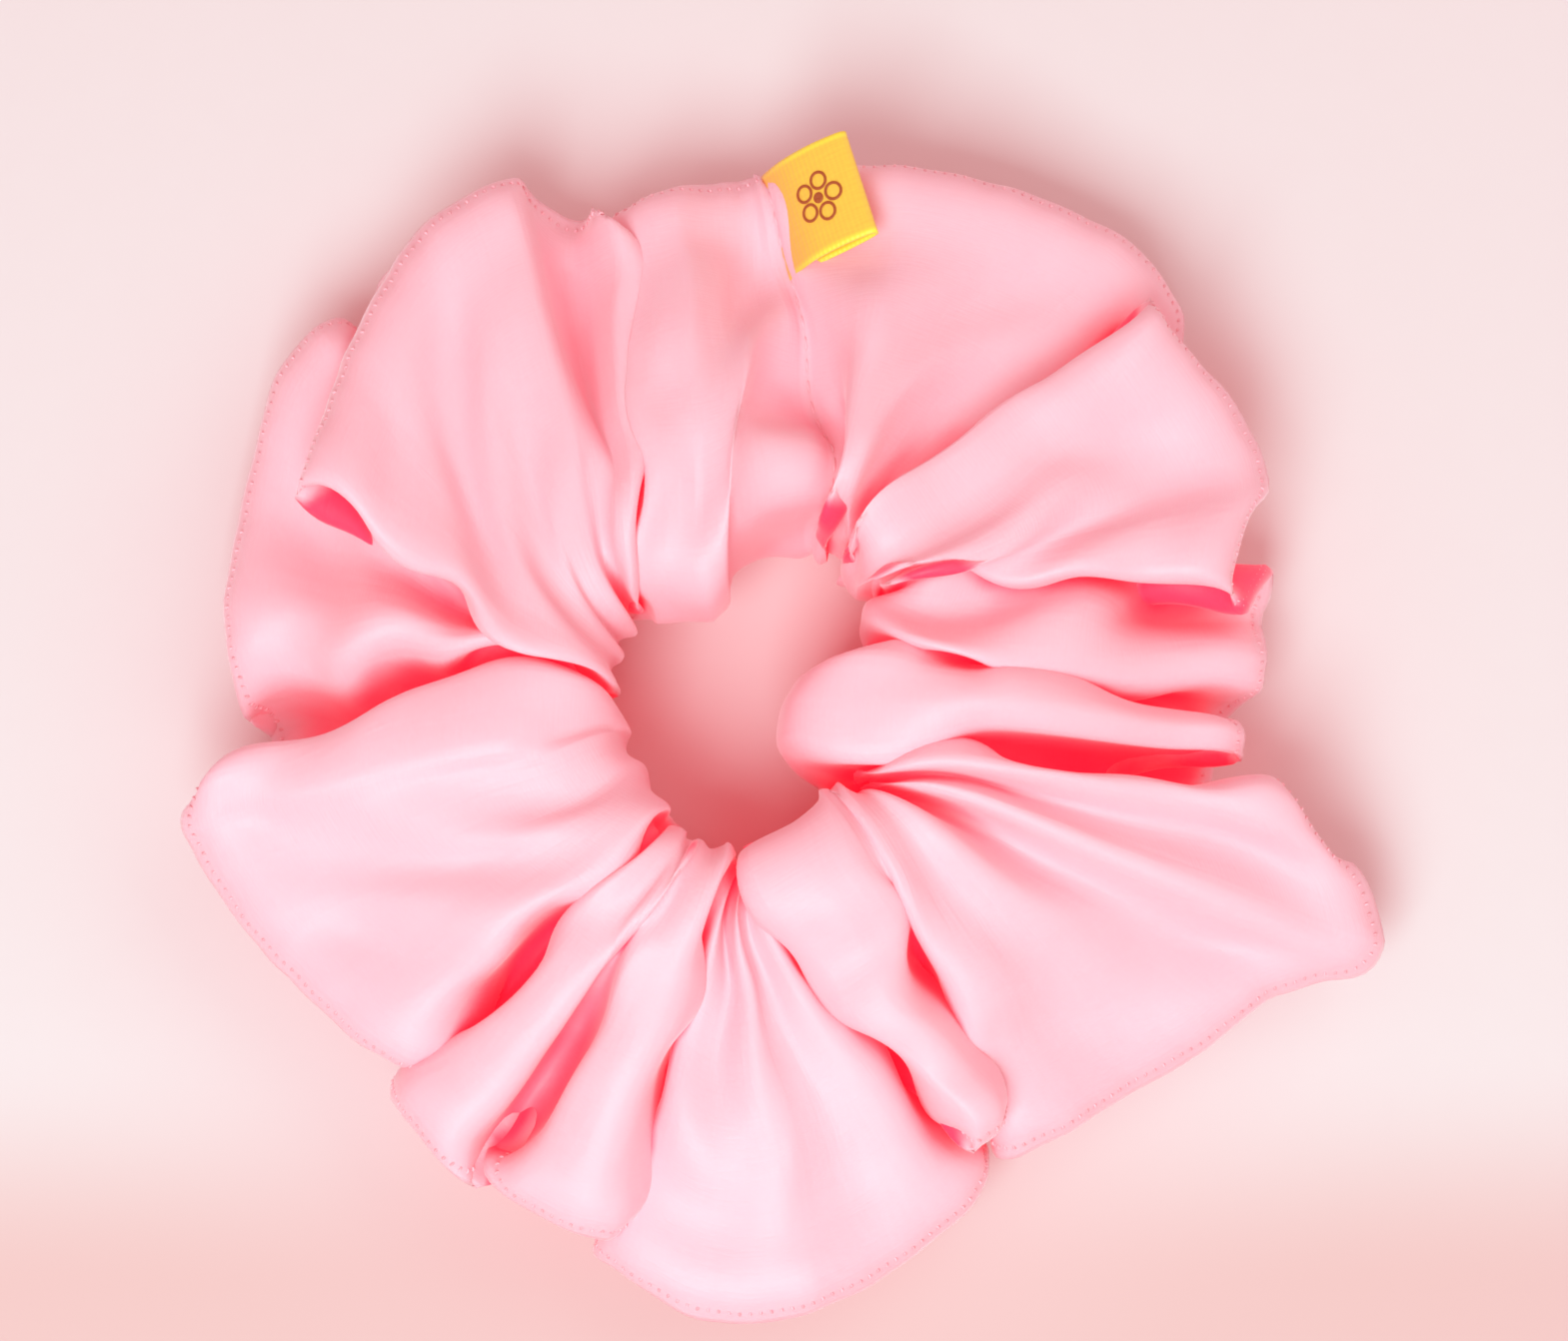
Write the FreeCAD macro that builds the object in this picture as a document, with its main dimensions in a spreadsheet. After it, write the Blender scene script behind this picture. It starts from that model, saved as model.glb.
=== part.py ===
import FreeCAD, Part
import os
import re
import Sketcher

# A gathered hair ring: a tube of satin drawn up on a loop of flat elastic braid.
# Frame: +Z up, origin at the middle of the underside, label towards +Y. Millimetres.

SIZES = (
    ("opening_radius", 13.5, "radius of the opening at rest"),
    ("cover_radius", 61.0, "outer radius of the gathered cover"),
    ("cover_height", 28.0, "height of the gathered cover round the opening"),
    ("crown_radius", 30.0, "radius where the top starts to fall towards the rim"),
    ("rim_height", 13.0, "height of the cover at its rim"),
    ("mouth_round", 9.0, "rounding of the cover above and below the opening"),
    ("rim_round_below", 9.0, "rounding of the cover's rim on its underside"),
    ("rim_round_above", 4.5, "rounding of the cover's rim on its top"),
    ("gather_count", 12, "valleys between the gathers"),
    ("gather_width", 6.0, "width of a valley at the top"),
    ("gather_depth", 6.0, "depth of a valley at the crown"),
    ("cloth_thickness", 0.25, "one layer of satin"),
    ("mouth_bulk", 4.0, "gathered cloth between the opening and the tunnel"),
    ("rim_bulk", 17.0, "gathered cloth between the tunnel and the rim"),
    ("tunnel_height", 11.0, "height of the tunnel"),
    ("seam_allowance", 7.0, "raw edges inside the tunnel, beyond the side seam"),
    ("thread_radius", 0.15, "sewing thread, radius"),
    ("thread_gap", 0.05, "air between a thread and the cloth it lies on"),
    ("end_margin", 1.0, "clear length past the end of a seam thread or a cut"),
    ("fold_margin", 0.05, "straight piece left between two roundings of a fold"),
    ("stitch_offset", 0.7, "side seam's line, in from the tunnel's outer wall"),
    ("closing_seam_x", 2.5, "closing seam's line beside the Y axis"),
    ("seam_groove_width", 1.2, "width of the groove that the closing seam pulls in"),
    ("seam_groove_depth", 0.6, "depth of that groove"),
    ("braid_width", 6.0, "elastic braid, width"),
    ("braid_thickness", 1.0, "elastic braid, thickness"),
    ("braid_ease", 3.0, "air between the tunnel's inner wall and the braid"),
    ("braid_overlap", 12.0, "how far the braid's two ends lie over each other"),
    ("braid_step", 3.0, "length over which the braid steps out to its overlap"),
    ("tail_gap", 0.4, "air between the braid's inner end and that step"),
    ("lap_gap", 0.1, "air between the two overlapped ends"),
    ("core_radius", 0.3, "rubber strand, radius"),
    ("core_gap", 0.05, "air around a rubber strand"),
    ("core_pitch", 1.3, "distance between rubber strands"),
    ("core_end", 2.0, "braid beyond the ends of the rubber strands"),
    ("join_stitch_length", 4.6, "zigzag stitch across the braid, length"),
    ("join_stitch_lean", 12.0, "lean of a zigzag stitch, degrees"),
    ("ribbon_width", 12.0, "label ribbon, width"),
    ("ribbon_thickness", 0.3, "label ribbon, thickness"),
    ("label_length", 12.5, "label from its sewn edge to its fold"),
    ("label_height", 1.8, "height of the label's open loop"),
    ("label_pinch", 3.0, "length over which the loop closes to its sewn edge"),
    ("label_inset", 11.0, "middle of the label, in from the rim"),
    ("label_lift", 0.5, "sewn edge above the cover's slope"),
    ("petal_circle", 1.9, "printed blossom, centre to the middle of a petal"),
    ("petal_radius", 1.05, "printed petal, outer radius"),
    ("print_line", 0.3, "line width of a petal"),
    ("bud_radius", 0.6, "printed dot in the middle of the blossom"),
    ("print_thickness", 0.08, "ink layer"),
)
ALIASES = {alias: f"sizes.{alias}" for alias, _, _ in SIZES}
CORE_COUNT = 4
JOIN_STITCH_COUNT = 9
PETAL_COUNT = 5
UP = FreeCAD.Vector(0, 0, 1)

doc = FreeCAD.newDocument("hair_ring")
sheet = doc.addObject("Spreadsheet::Sheet", "sizes")
for row, (alias, value, meaning) in enumerate(SIZES, start=1):
    sheet.set(f"A{row}", alias)
    sheet.set(f"B{row}", str(value))
    sheet.setAlias(f"B{row}", alias)
    sheet.set(f"C{row}", meaning)
doc.recompute()


def sized(text):
    """Put the sheet's name before each alias of an expression."""
    return re.sub(r"[a-z_]+", lambda word: ALIASES.get(word[0], word[0]), text)


def number(text):
    """The value of an expression at the sheet's present sizes."""
    value = sheet.evalExpression(sized(text))
    return float(getattr(value, "Value", value))


def bind(thing, **properties):
    """Bind properties to the sheet; two underscores in a name stand for a dot."""
    for name, text in properties.items():
        thing.setExpression(name.replace("__", "."), sized(text))
    return thing


def primitive(kind, name, **properties):
    return bind(doc.addObject(kind, name), **properties)


def origin_feature(body, role):
    return next(f for f in body.Origin.OriginFeatures if f.Role == role)


def polygon_sketch(body, name, role, *outlines):
    """A sketch of closed outlines, each corner tied to the origin by two expressions."""
    sketch = body.newObject("Sketcher::SketchObject", name)
    sketch.AttachmentSupport = (origin_feature(body, role), [""])
    sketch.MapMode = "FlatFace"
    for outline in outlines:
        spots = [FreeCAD.Vector(number(x), number(y), 0) for x, y in outline]
        lines = [
            sketch.addGeometry(Part.LineSegment(spot, spots[(i + 1) % len(spots)]), False)
            for i, spot in enumerate(spots)
        ]
        for i, line in enumerate(lines):
            after = lines[(i + 1) % len(lines)]
            sketch.addConstraint(Sketcher.Constraint("Coincident", line, 2, after, 1))
        for line, spot, (x, y) in zip(lines, spots, outline):
            tie(sketch, "DistanceX", line, spot.x, x)
            tie(sketch, "DistanceY", line, spot.y, y)
    return sketch


def tie(sketch, kind, line, value, text):
    """Hold a line's start at a distance from the origin along one axis."""
    axis = -2 if kind == "DistanceX" else -1
    if abs(value) < 1e-9:
        sketch.addConstraint(Sketcher.Constraint("PointOnObject", line, 1, axis))
        return
    ends = (-1, 1, line, 1) if value > 0 else (line, 1, -1, 1)
    index = sketch.addConstraint(Sketcher.Constraint(kind, *ends, abs(value)))
    text = text if value > 0 else f"0 - ( {text} )"
    sketch.setExpression(f"Constraints[{index}]", sized(text))


def circle_edges(shape, radius, height):
    """Names of a shape's full circles of one radius about Z at one height."""
    names = []
    for index, edge in enumerate(shape.Edges, start=1):
        curve = edge.Curve
        if isinstance(curve, Part.Circle) and abs(curve.Radius - radius) < 1e-3:
            if abs(curve.Center.z - height) < 1e-3:
                names.append(f"Edge{index}")
    return names


def group(name, members):
    """Like pieces as one node of separate solids."""
    compound = doc.addObject("Part::Compound", name)
    compound.Links = members
    return compound


def cut(name, base, tool):
    difference = doc.addObject("Part::Cut", name)
    difference.Base = base
    difference.Tool = tool
    return difference


def node(thing, label):
    thing.Label = label
    return thing


# ---- satin cover -----------------------------------------------------------------------

MIDDLE = "cover_height / 2"
SLOPE = "atan( ( cover_height - rim_height ) / ( cover_radius - crown_radius ) )"
TUNNEL_INNER = "opening_radius + mouth_bulk"
TUNNEL_OUTER = "cover_radius - rim_bulk"
TUNNEL_LOW = f"{MIDDLE} - tunnel_height / 2"
TUNNEL_HIGH = f"{MIDDLE} + tunnel_height / 2"


def satin_cover():
    """The gathered cloth as one ring, with valleys above and a tunnel for the elastic."""
    body = doc.addObject("PartDesign::Body", "cover_body")
    turn_axis = origin_feature(body, "Z_Axis")
    ring = body.newObject("PartDesign::Revolution", "ring")
    ring.Profile = polygon_sketch(
        body, "ring_section", "XZ_Plane",
        [
            ("opening_radius", "0"),
            ("cover_radius", "0"),
            ("cover_radius", "rim_height"),
            ("crown_radius", "cover_height"),
            ("opening_radius", "cover_height"),
        ],
    )
    ring.ReferenceAxis = (turn_axis, [""])
    ring.Angle = 360
    doc.recompute()
    mouth = [
        name
        for height in ("0", "cover_height")
        for name in circle_edges(ring.Shape, number("opening_radius"), number(height))
    ]
    mouth_fillet = rounded(body, "mouth_rounding", ring, mouth, "mouth_round")
    below = circle_edges(mouth_fillet.Shape, number("cover_radius"), 0)
    below_fillet = rounded(body, "rim_rounding_below", mouth_fillet, below, "rim_round_below")
    above = circle_edges(below_fillet.Shape, number("cover_radius"), number("rim_height"))
    rounded(body, "rim_rounding_above", below_fillet, above, "rim_round_above")
    cut_valleys(body, turn_axis)
    floor_line = "seam_groove_depth"
    cut_seam_groove(
        body, "top_seam_groove",
        [
            ("crown_radius", f"cover_height - {floor_line}"),
            ("cover_radius", f"rim_height - {floor_line}"),
            ("cover_radius", "cover_height"),
            ("crown_radius", "cover_height"),
        ],
    )
    cut_seam_groove(
        body, "bottom_seam_groove",
        [("0", "0"), ("cover_radius", "0"), ("cover_radius", floor_line), ("0", floor_line)],
    )
    cut_tunnel(body, turn_axis)
    return node(body, "satin_cover")


def rounded(body, name, base, names, radius):
    feature = body.newObject("PartDesign::Fillet", name)
    feature.Base = (base, names)
    bind(feature, Radius=radius)
    doc.recompute()
    return feature


def cut_valleys(body, turn_axis):
    """V-shaped valleys across the top, spread evenly, with a ridge under the label."""
    sketch = body.newObject("Sketcher::SketchObject", "valley_section")
    sketch.AttachmentSupport = (origin_feature(body, "YZ_Plane"), [""])
    sketch.MapMode = "FlatFace"
    sketch.AttachmentOffset = FreeCAD.Placement(
        FreeCAD.Vector(), FreeCAD.Rotation(FreeCAD.Vector(0, 1, 0), 1)
    )
    bind(sketch, AttachmentOffset__Rotation__Angle="90 + 180 / gather_count")
    half, top = number("gather_width / 2"), number("cover_height")
    corners = [
        FreeCAD.Vector(-half, top, 0),
        FreeCAD.Vector(half, top, 0),
        FreeCAD.Vector(0, top - number("gather_depth"), 0),
    ]
    lines = [
        sketch.addGeometry(Part.LineSegment(corner, corners[(i + 1) % 3]), False)
        for i, corner in enumerate(corners)
    ]
    for i, line in enumerate(lines):
        sketch.addConstraint(Sketcher.Constraint("Coincident", line, 2, lines[(i + 1) % 3], 1))
    mouth, slope, _ = lines
    sketch.addConstraint(Sketcher.Constraint("Symmetric", mouth, 1, mouth, 2, -2))
    sketch.addConstraint(Sketcher.Constraint("PointOnObject", slope, 2, -2))
    for kind, ends, text in (
        ("DistanceX", (mouth, 1, mouth, 2), "gather_width"),
        ("DistanceY", (-1, 1, mouth, 1), "cover_height"),
        ("DistanceY", (slope, 2, mouth, 1), "gather_depth"),
    ):
        index = sketch.addConstraint(Sketcher.Constraint(kind, *ends, number(text)))
        sketch.setExpression(f"Constraints[{index}]", sized(text))
    valley = body.newObject("PartDesign::Pocket", "valley")
    valley.Profile = sketch
    valley.Reversed = True
    bind(valley, Length="cover_radius + end_margin")
    doc.recompute()
    spread = body.newObject("PartDesign::PolarPattern", "valleys")
    spread.Originals = [valley]
    spread.Axis = (turn_axis, [""])
    spread.Angle = 360
    bind(spread, Occurrences="gather_count")
    body.Tip = spread
    doc.recompute()


def cut_seam_groove(body, name, outline):
    """The line that the closing seam draws into the cloth, out towards +Y."""
    section = polygon_sketch(body, f"{name}_section", "YZ_Plane", outline)
    bind(section, AttachmentOffset__Base__z="closing_seam_x")
    groove = body.newObject("PartDesign::Pocket", name)
    groove.Profile = section
    groove.Midplane = True
    bind(groove, Length="seam_groove_width")
    doc.recompute()


def cut_tunnel(body, turn_axis):
    """The tube's inside, with the raw edges of the side seam standing in it."""
    fin_low = f"{MIDDLE} - cloth_thickness"
    fin_high = f"{MIDDLE} + cloth_thickness"
    fin_tip = f"{TUNNEL_OUTER} - seam_allowance"
    tunnel = body.newObject("PartDesign::Groove", "tunnel")
    tunnel.Profile = polygon_sketch(
        body, "tunnel_section", "XZ_Plane",
        [
            (TUNNEL_INNER, TUNNEL_LOW),
            (TUNNEL_OUTER, TUNNEL_LOW),
            (TUNNEL_OUTER, fin_low),
            (fin_tip, fin_low),
            (fin_tip, fin_high),
            (TUNNEL_OUTER, fin_high),
            (TUNNEL_OUTER, TUNNEL_HIGH),
            (TUNNEL_INNER, TUNNEL_HIGH),
        ],
    )
    tunnel.ReferenceAxis = (turn_axis, [""])
    tunnel.Angle = 360
    doc.recompute()


# ---- seams -----------------------------------------------------------------------------

def side_seam_thread(label, side):
    """One thread of the side seam's lockstitch, along one face of the seam allowance."""
    away = f"( cloth_thickness + thread_gap + thread_radius ) * {side}"
    ring = primitive(
        "Part::Torus", label,
        Radius1=f"{TUNNEL_OUTER} - stitch_offset",
        Radius2="thread_radius",
        Placement__Base__z=f"{MIDDLE} + {away}",
    )
    return node(ring, label)


def closing_seam_thread(label, start, length, height, fall):
    """One thread of the closing seam, lying in its groove where the cover is straight."""
    rod = doc.addObject("Part::Cylinder", label)
    rod.Placement.Rotation = FreeCAD.Rotation(FreeCAD.Vector(-1, 0, 0), 90)
    bind(
        rod,
        Radius="thread_radius",
        Height=length,
        Placement__Base__x="closing_seam_x",
        Placement__Base__y=start,
        Placement__Base__z=height,
        Placement__Rotation__Angle=f"90 deg + {fall}",
    )
    return node(rod, label)


def closing_seam_needle_thread():
    """The upper thread, down the slope from the crown towards the rim."""
    start, finish = "( crown_radius + 3 * end_margin )", "( cover_radius - rim_round_above - end_margin )"
    above_floor = f"( thread_gap + thread_radius ) / cos( {SLOPE} ) - seam_groove_depth"
    return closing_seam_thread(
        "closing_seam_needle_thread",
        start,
        f"( {finish} - {start} ) / cos( {SLOPE} )",
        f"cover_height - ( {start} - crown_radius ) * tan( {SLOPE} ) + {above_floor}",
        SLOPE,
    )


def closing_seam_bobbin_thread():
    """The lower thread, along the flat underside."""
    start = "( opening_radius + mouth_round + end_margin )"
    return closing_seam_thread(
        "closing_seam_bobbin_thread",
        start,
        f"cover_radius - rim_round_below - end_margin - {start}",
        "seam_groove_depth - thread_gap - thread_radius",
        "0 deg",
    )


# ---- elastic ---------------------------------------------------------------------------

BRAID_INNER = f"( {TUNNEL_INNER} + braid_ease )"
BRAID_OUTER = f"( {BRAID_INNER} + braid_thickness )"
BRAID_MEAN = f"( {BRAID_INNER} + braid_thickness / 2 )"
LAP_INNER = f"( {BRAID_OUTER} + lap_gap )"
LAP_OUTER = f"( {LAP_INNER} + braid_thickness )"
BRAID_LOW = f"{MIDDLE} - braid_width / 2"


def turn_of(length):
    """The angle, in degrees, that a length of braid takes up on its loop."""
    return f"( ( {length} ) / {BRAID_MEAN} * 180 / pi )"


def braid_strip(name, inner, angle, start):
    """A strip of braid standing on edge along an arc about Z."""
    disc = doc.addObject("Part::Cylinder", f"{name}_disc")
    disc.Placement.Rotation = FreeCAD.Rotation(UP, 1)
    bind(
        disc,
        Radius=f"{inner} + braid_thickness",
        Height="braid_width",
        Angle=angle,
        Placement__Base__z=BRAID_LOW,
        Placement__Rotation__Angle=start,
    )
    inside = primitive(
        "Part::Cylinder", f"{name}_inside",
        Radius=inner, Height="braid_width", Placement__Base__z=BRAID_LOW,
    )
    return cut(name, disc, inside)


def braid_step():
    """The slanting run that carries the braid from its loop out to its overlap."""
    body = doc.addObject("PartDesign::Body", "braid_step_body")
    pad = body.newObject("PartDesign::Pad", "braid_step_pad")
    cosine, sine = f"cos( {turn_of('braid_step')} )", f"sin( {turn_of('braid_step')} )"
    pad.Profile = polygon_sketch(
        body, "braid_step_section", "XY_Plane",
        [
            (f"{BRAID_INNER} * {cosine}", f"0 - {BRAID_INNER} * {sine}"),
            (f"{BRAID_OUTER} * {cosine}", f"0 - {BRAID_OUTER} * {sine}"),
            (LAP_OUTER, "0"),
            (LAP_INNER, "0"),
        ],
    )
    bind(pad, Length="braid_width")
    bind(body, Placement__Base__z=BRAID_LOW)
    return body


def strands(name, radius, spare):
    """Tubes side by side up the braid's width, inside its loop."""
    return group(name, [strand(f"{name}_{i + 1}", i, radius, spare) for i in range(CORE_COUNT)])


def strand(name, index, radius, spare):
    level = index - (CORE_COUNT - 1) / 2
    tube = doc.addObject("Part::Torus", name)
    tube.Placement.Rotation = FreeCAD.Rotation(UP, 1)
    bind(
        tube,
        Radius1=BRAID_MEAN,
        Radius2=radius,
        Angle3=f"360 - {turn_of(f'braid_step + tail_gap + 2 * core_end - 2 * {spare}')}",
        Placement__Base__z=f"{MIDDLE} + {level} * core_pitch",
        Placement__Rotation__Angle=turn_of(f"tail_gap + core_end - {spare}"),
    )
    return tube


def elastic_braid():
    """Flat braid in a loop: one end steps out and lies over the other."""
    loop = braid_strip(
        "braid_loop", BRAID_INNER,
        f"360 - {turn_of('braid_step + tail_gap')}", turn_of("tail_gap"),
    )
    lap = braid_strip("braid_lap", LAP_INNER, turn_of("braid_overlap"), "0")
    band = doc.addObject("Part::MultiFuse", "braid_band")
    band.Shapes = [loop, braid_step(), lap]
    channels = strands("core_channels", "core_radius + core_gap", "core_gap")
    return node(cut("braid", band, channels), "elastic_braid")


def join_stitches():
    """Zigzag stitches over the braid's overlap, on its outer face."""
    return group("elastic_join_stitches", [join_stitch(i) for i in range(JOIN_STITCH_COUNT)])


def join_stitch(index):
    lean = 1 if index % 2 else -1
    bearing = f"( {turn_of('braid_overlap')} * {(index + 0.5) / JOIN_STITCH_COUNT} )"
    reach = f"( {LAP_OUTER} + thread_gap + thread_radius )"
    sway = f"( {lean} * join_stitch_length / 2 * sin( join_stitch_lean ) )"
    drop = "( join_stitch_length / 2 * cos( join_stitch_lean ) )"
    stitch = doc.addObject("Part::Cylinder", f"join_stitch_{index + 1}")
    stitch.Placement.Rotation = FreeCAD.Rotation(FreeCAD.Vector(1, 0.1, 0), 1)
    bind(
        stitch,
        Radius="thread_radius",
        Height="join_stitch_length",
        Placement__Base__x=f"{reach} * cos( {bearing} ) - {sway} * sin( {bearing} )",
        Placement__Base__y=f"{reach} * sin( {bearing} ) + {sway} * cos( {bearing} )",
        Placement__Base__z=f"{MIDDLE} - {drop}",
        Placement__Rotation__Axis__x=f"cos( {bearing} )",
        Placement__Rotation__Axis__y=f"sin( {bearing} )",
        Placement__Rotation__Angle=f"{lean} * join_stitch_lean",
    )
    return stitch


# ---- label -----------------------------------------------------------------------------

LABEL_DROP = f"( cover_radius - label_inset - crown_radius ) * tan( {SLOPE} )"
LABEL_PLACE = {
    "Placement__Base__x": "closing_seam_x",
    "Placement__Base__y": "cover_radius - label_inset",
    "Placement__Base__z": f"cover_height - {LABEL_DROP} + label_lift / cos( {SLOPE} )",
    "Placement__Rotation__Angle": SLOPE,
}


def lean_outwards(thing):
    """Lay a piece of the label on the slope, leaning out about the X axis."""
    thing.Placement.Rotation = FreeCAD.Rotation(FreeCAD.Vector(-1, 0, 0), 1)
    return bind(thing, **LABEL_PLACE)


def label_ribbon():
    """Ribbon folded in two: an open loop, pinched flat where it is sewn in."""
    body = doc.addObject("PartDesign::Body", "label_body")
    pad = body.newObject("PartDesign::Pad", "label_pad")
    bend = "label_length - ribbon_thickness"
    pad.Profile = polygon_sketch(
        body, "label_section", "XZ_Plane",
        [
            ("0", "0"),
            ("label_length", "0"),
            ("label_length", "label_height"),
            ("label_pinch", "label_height"),
            ("0", "2 * ribbon_thickness"),
        ],
        [
            ("label_pinch", "ribbon_thickness"),
            (bend, "ribbon_thickness"),
            (bend, "label_height - ribbon_thickness"),
            ("label_pinch", "label_height - ribbon_thickness"),
        ],
    )
    pad.Midplane = True
    bind(pad, Length="ribbon_width")
    doc.recompute()
    outer = upright_edges(pad.Shape, number("label_length"))
    outer_fold = rounded(body, "outer_fold", pad, outer, "label_height / 2 - fold_margin")
    inner = upright_edges(outer_fold.Shape, number(bend))
    rounded(body, "inner_fold", outer_fold, inner, "label_height / 2 - ribbon_thickness - fold_margin")
    lean_outwards(body)
    return node(body, "label_ribbon")


def upright_edges(shape, distance):
    """Names of the straight edges along Y at one distance from the sewn edge."""
    names = []
    for index, edge in enumerate(shape.Edges, start=1):
        box = edge.BoundBox
        along = box.YLength > 1 and box.XLength < 1e-6 and box.ZLength < 1e-6
        if along and abs(box.XMin - distance) < 1e-6:
            names.append(f"Edge{index}")
    return names


def label_print():
    """A plain blossom of ink rings on the label's upper face."""
    petals = [ink_petal(index) for index in range(PETAL_COUNT)]
    bud = ink_disc("bud", "bud_radius", "0", "0")
    return node(lean_outwards(group("blossom", petals + [bud])), "label_print")


def ink_petal(index):
    bearing = 360 * index / PETAL_COUNT
    spot = f"petal_circle * sin( {bearing} )", f"petal_circle * cos( {bearing} )"
    name = f"petal_{index + 1}"
    disc = ink_disc(f"{name}_disc", "petal_radius", *spot)
    middle = ink_disc(f"{name}_middle", "petal_radius - print_line", *spot)
    return cut(name, disc, middle)


def ink_disc(name, radius, x, y):
    return primitive(
        "Part::Cylinder", name,
        Radius=radius,
        Height="print_thickness",
        Placement__Base__x=f"label_pinch + ( label_length - label_pinch ) / 2 + {x}",
        Placement__Base__y=y,
        Placement__Base__z="label_height",
    )


# ---- the object ------------------------------------------------------------------------

NODES = [
    satin_cover(),
    side_seam_thread("side_seam_needle_thread", 1),
    side_seam_thread("side_seam_bobbin_thread", -1),
    closing_seam_needle_thread(),
    closing_seam_bobbin_thread(),
    elastic_braid(),
    node(strands("rubber_cores", "core_radius", "0"), "elastic_rubber_cores"),
    node(join_stitches(), "elastic_join_stitches"),
    label_ribbon(),
    label_print(),
]
doc.recompute()

for thing in doc.Objects:
    if "Invalid" in thing.State or "Error" in thing.State:
        raise RuntimeError(f"{thing.Name} did not recompute: {thing.State}")
for piece in NODES:
    if piece.Shape.isNull() or not piece.Shape.isValid():
        raise RuntimeError(f"{piece.Label} has no valid shape")

os.makedirs("parts", exist_ok=True)
for piece in NODES:
    piece.Shape.exportStep(f"parts/{piece.Label}.step")
    box = piece.Shape.BoundBox
    print(
        f"{piece.Label}: {len(piece.Shape.Solids)} solids, {piece.Shape.Volume:.2f} mm3, "
        f"x {box.XMin:.2f} {box.XMax:.2f}, y {box.YMin:.2f} {box.YMax:.2f}, "
        f"z {box.ZMin:.2f} {box.ZMax:.2f}"
    )
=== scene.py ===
"""Visual model of a gathered satin scrunchie with a folded ribbon label."""

from itertools import product

import bpy
import numpy as np
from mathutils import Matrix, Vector
from mathutils.bvhtree import BVHTree


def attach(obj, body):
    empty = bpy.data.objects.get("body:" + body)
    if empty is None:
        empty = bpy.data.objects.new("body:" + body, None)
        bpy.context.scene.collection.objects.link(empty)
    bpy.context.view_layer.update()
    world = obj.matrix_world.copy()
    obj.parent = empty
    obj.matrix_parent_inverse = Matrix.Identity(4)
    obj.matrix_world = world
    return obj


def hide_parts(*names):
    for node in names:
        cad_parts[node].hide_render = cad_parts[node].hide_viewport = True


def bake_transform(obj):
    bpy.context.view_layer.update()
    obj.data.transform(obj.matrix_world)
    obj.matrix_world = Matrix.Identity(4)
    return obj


bl_info = {
    "name": "Satin scrunchie",
    "version": (1, 0, 0),
    "blender": (4, 5, 0),
    "location": "3D View > Sidebar > Scrunchie",
    "description": "A gathered satin cover with its seams, its elastic and its ribbon label",
    "category": "Add Mesh",
}

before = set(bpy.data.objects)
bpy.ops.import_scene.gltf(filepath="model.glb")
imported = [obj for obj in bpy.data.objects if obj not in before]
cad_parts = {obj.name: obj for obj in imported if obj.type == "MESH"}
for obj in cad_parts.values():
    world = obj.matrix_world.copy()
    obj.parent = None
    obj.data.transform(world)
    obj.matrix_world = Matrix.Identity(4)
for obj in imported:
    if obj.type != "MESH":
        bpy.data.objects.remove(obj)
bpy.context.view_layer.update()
MM = 0.001


def srgb(code):
    """An sRGB hex colour as linear red, green and blue."""
    parts = [int(code[k:k + 2], 16) / 255 for k in (0, 2, 4)]
    return tuple(p / 12.92 if p <= 0.04045 else ((p + 0.055) / 1.055) ** 2.4 for p in parts)


# ---- sizes and colours a user would change ----


def length_setting(name, description, default):
    return bpy.props.FloatProperty(
        name=name, description=description, default=default, min=0.0,
        precision=5, unit="LENGTH", subtype="DISTANCE",
    )


def colour_setting(name, description, code):
    return bpy.props.FloatVectorProperty(
        name=name, description=description, default=srgb(code), size=3,
        min=0.0, max=1.0, subtype="COLOR",
    )


class ScrunchieCloth(bpy.types.PropertyGroup):
    """The satin cover and its two seams."""

    strip_length: length_setting("Strip length", "Length of the cut, declared and not shaped", 0.500)
    strip_width: length_setting("Strip width", "Width of the tube, laid open", 0.116)
    thickness: length_setting("Thickness", "Thickness of the satin", 0.00025)
    thread: length_setting("Thread", "Diameter of the sewing thread", 0.00028)
    side_pitch: length_setting("Side stitch pitch", "From one side-seam stitch to the next", 0.0011)
    closing_pitch: length_setting("Closing stitch pitch", "From one closing stitch to the next", 0.0024)
    satin: colour_setting("Satin", "Colour of the satin in the open", "FFB4C0")
    # Painted shade: the hot pink that the base colour turns to in the folds.
    painted_fold_shade: colour_setting("Deep folds", "Colour of the satin between folds", "FF3A5C")
    # Painted light: the red that the satin emits in its folds, though it is no lamp.
    painted_fold_glow: colour_setting("Glow", "Colour of the light that comes through the satin", "FF2848")
    seam: colour_setting("Seam thread", "Colour of the sewing thread", "FFB4BF")


class ScrunchieLabel(bpy.types.PropertyGroup):
    """The folded ribbon label and its print."""

    width: length_setting("Width", "Width of the ribbon", 0.012)
    length: length_setting("Length", "From the sewn edge to the fold", 0.0121)
    thickness: length_setting("Thickness", "Thickness of the ribbon", 0.0003)
    petal_circle: length_setting("Petal circle", "Middle of the print to the middle of a petal", 0.0019)
    petal_radius: length_setting("Petal radius", "Outer radius of a printed petal", 0.00105)
    ink_line: length_setting("Ink line", "Line width of a printed petal", 0.0003)
    ribbon: colour_setting("Ribbon", "Colour of the woven ribbon", "F2C340")
    ink: colour_setting("Ink", "Colour of the print", "5A3B14")


class ScrunchieStage(bpy.types.PropertyGroup):
    """The floor, the lights and the camera."""

    view_width: length_setting("View width", "Width the camera sees at the scrunchie", 0.1647)
    floor: colour_setting("Floor", "Colour of the floor", "D1CDCE")


# ---- how the cloth is folded ----

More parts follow.
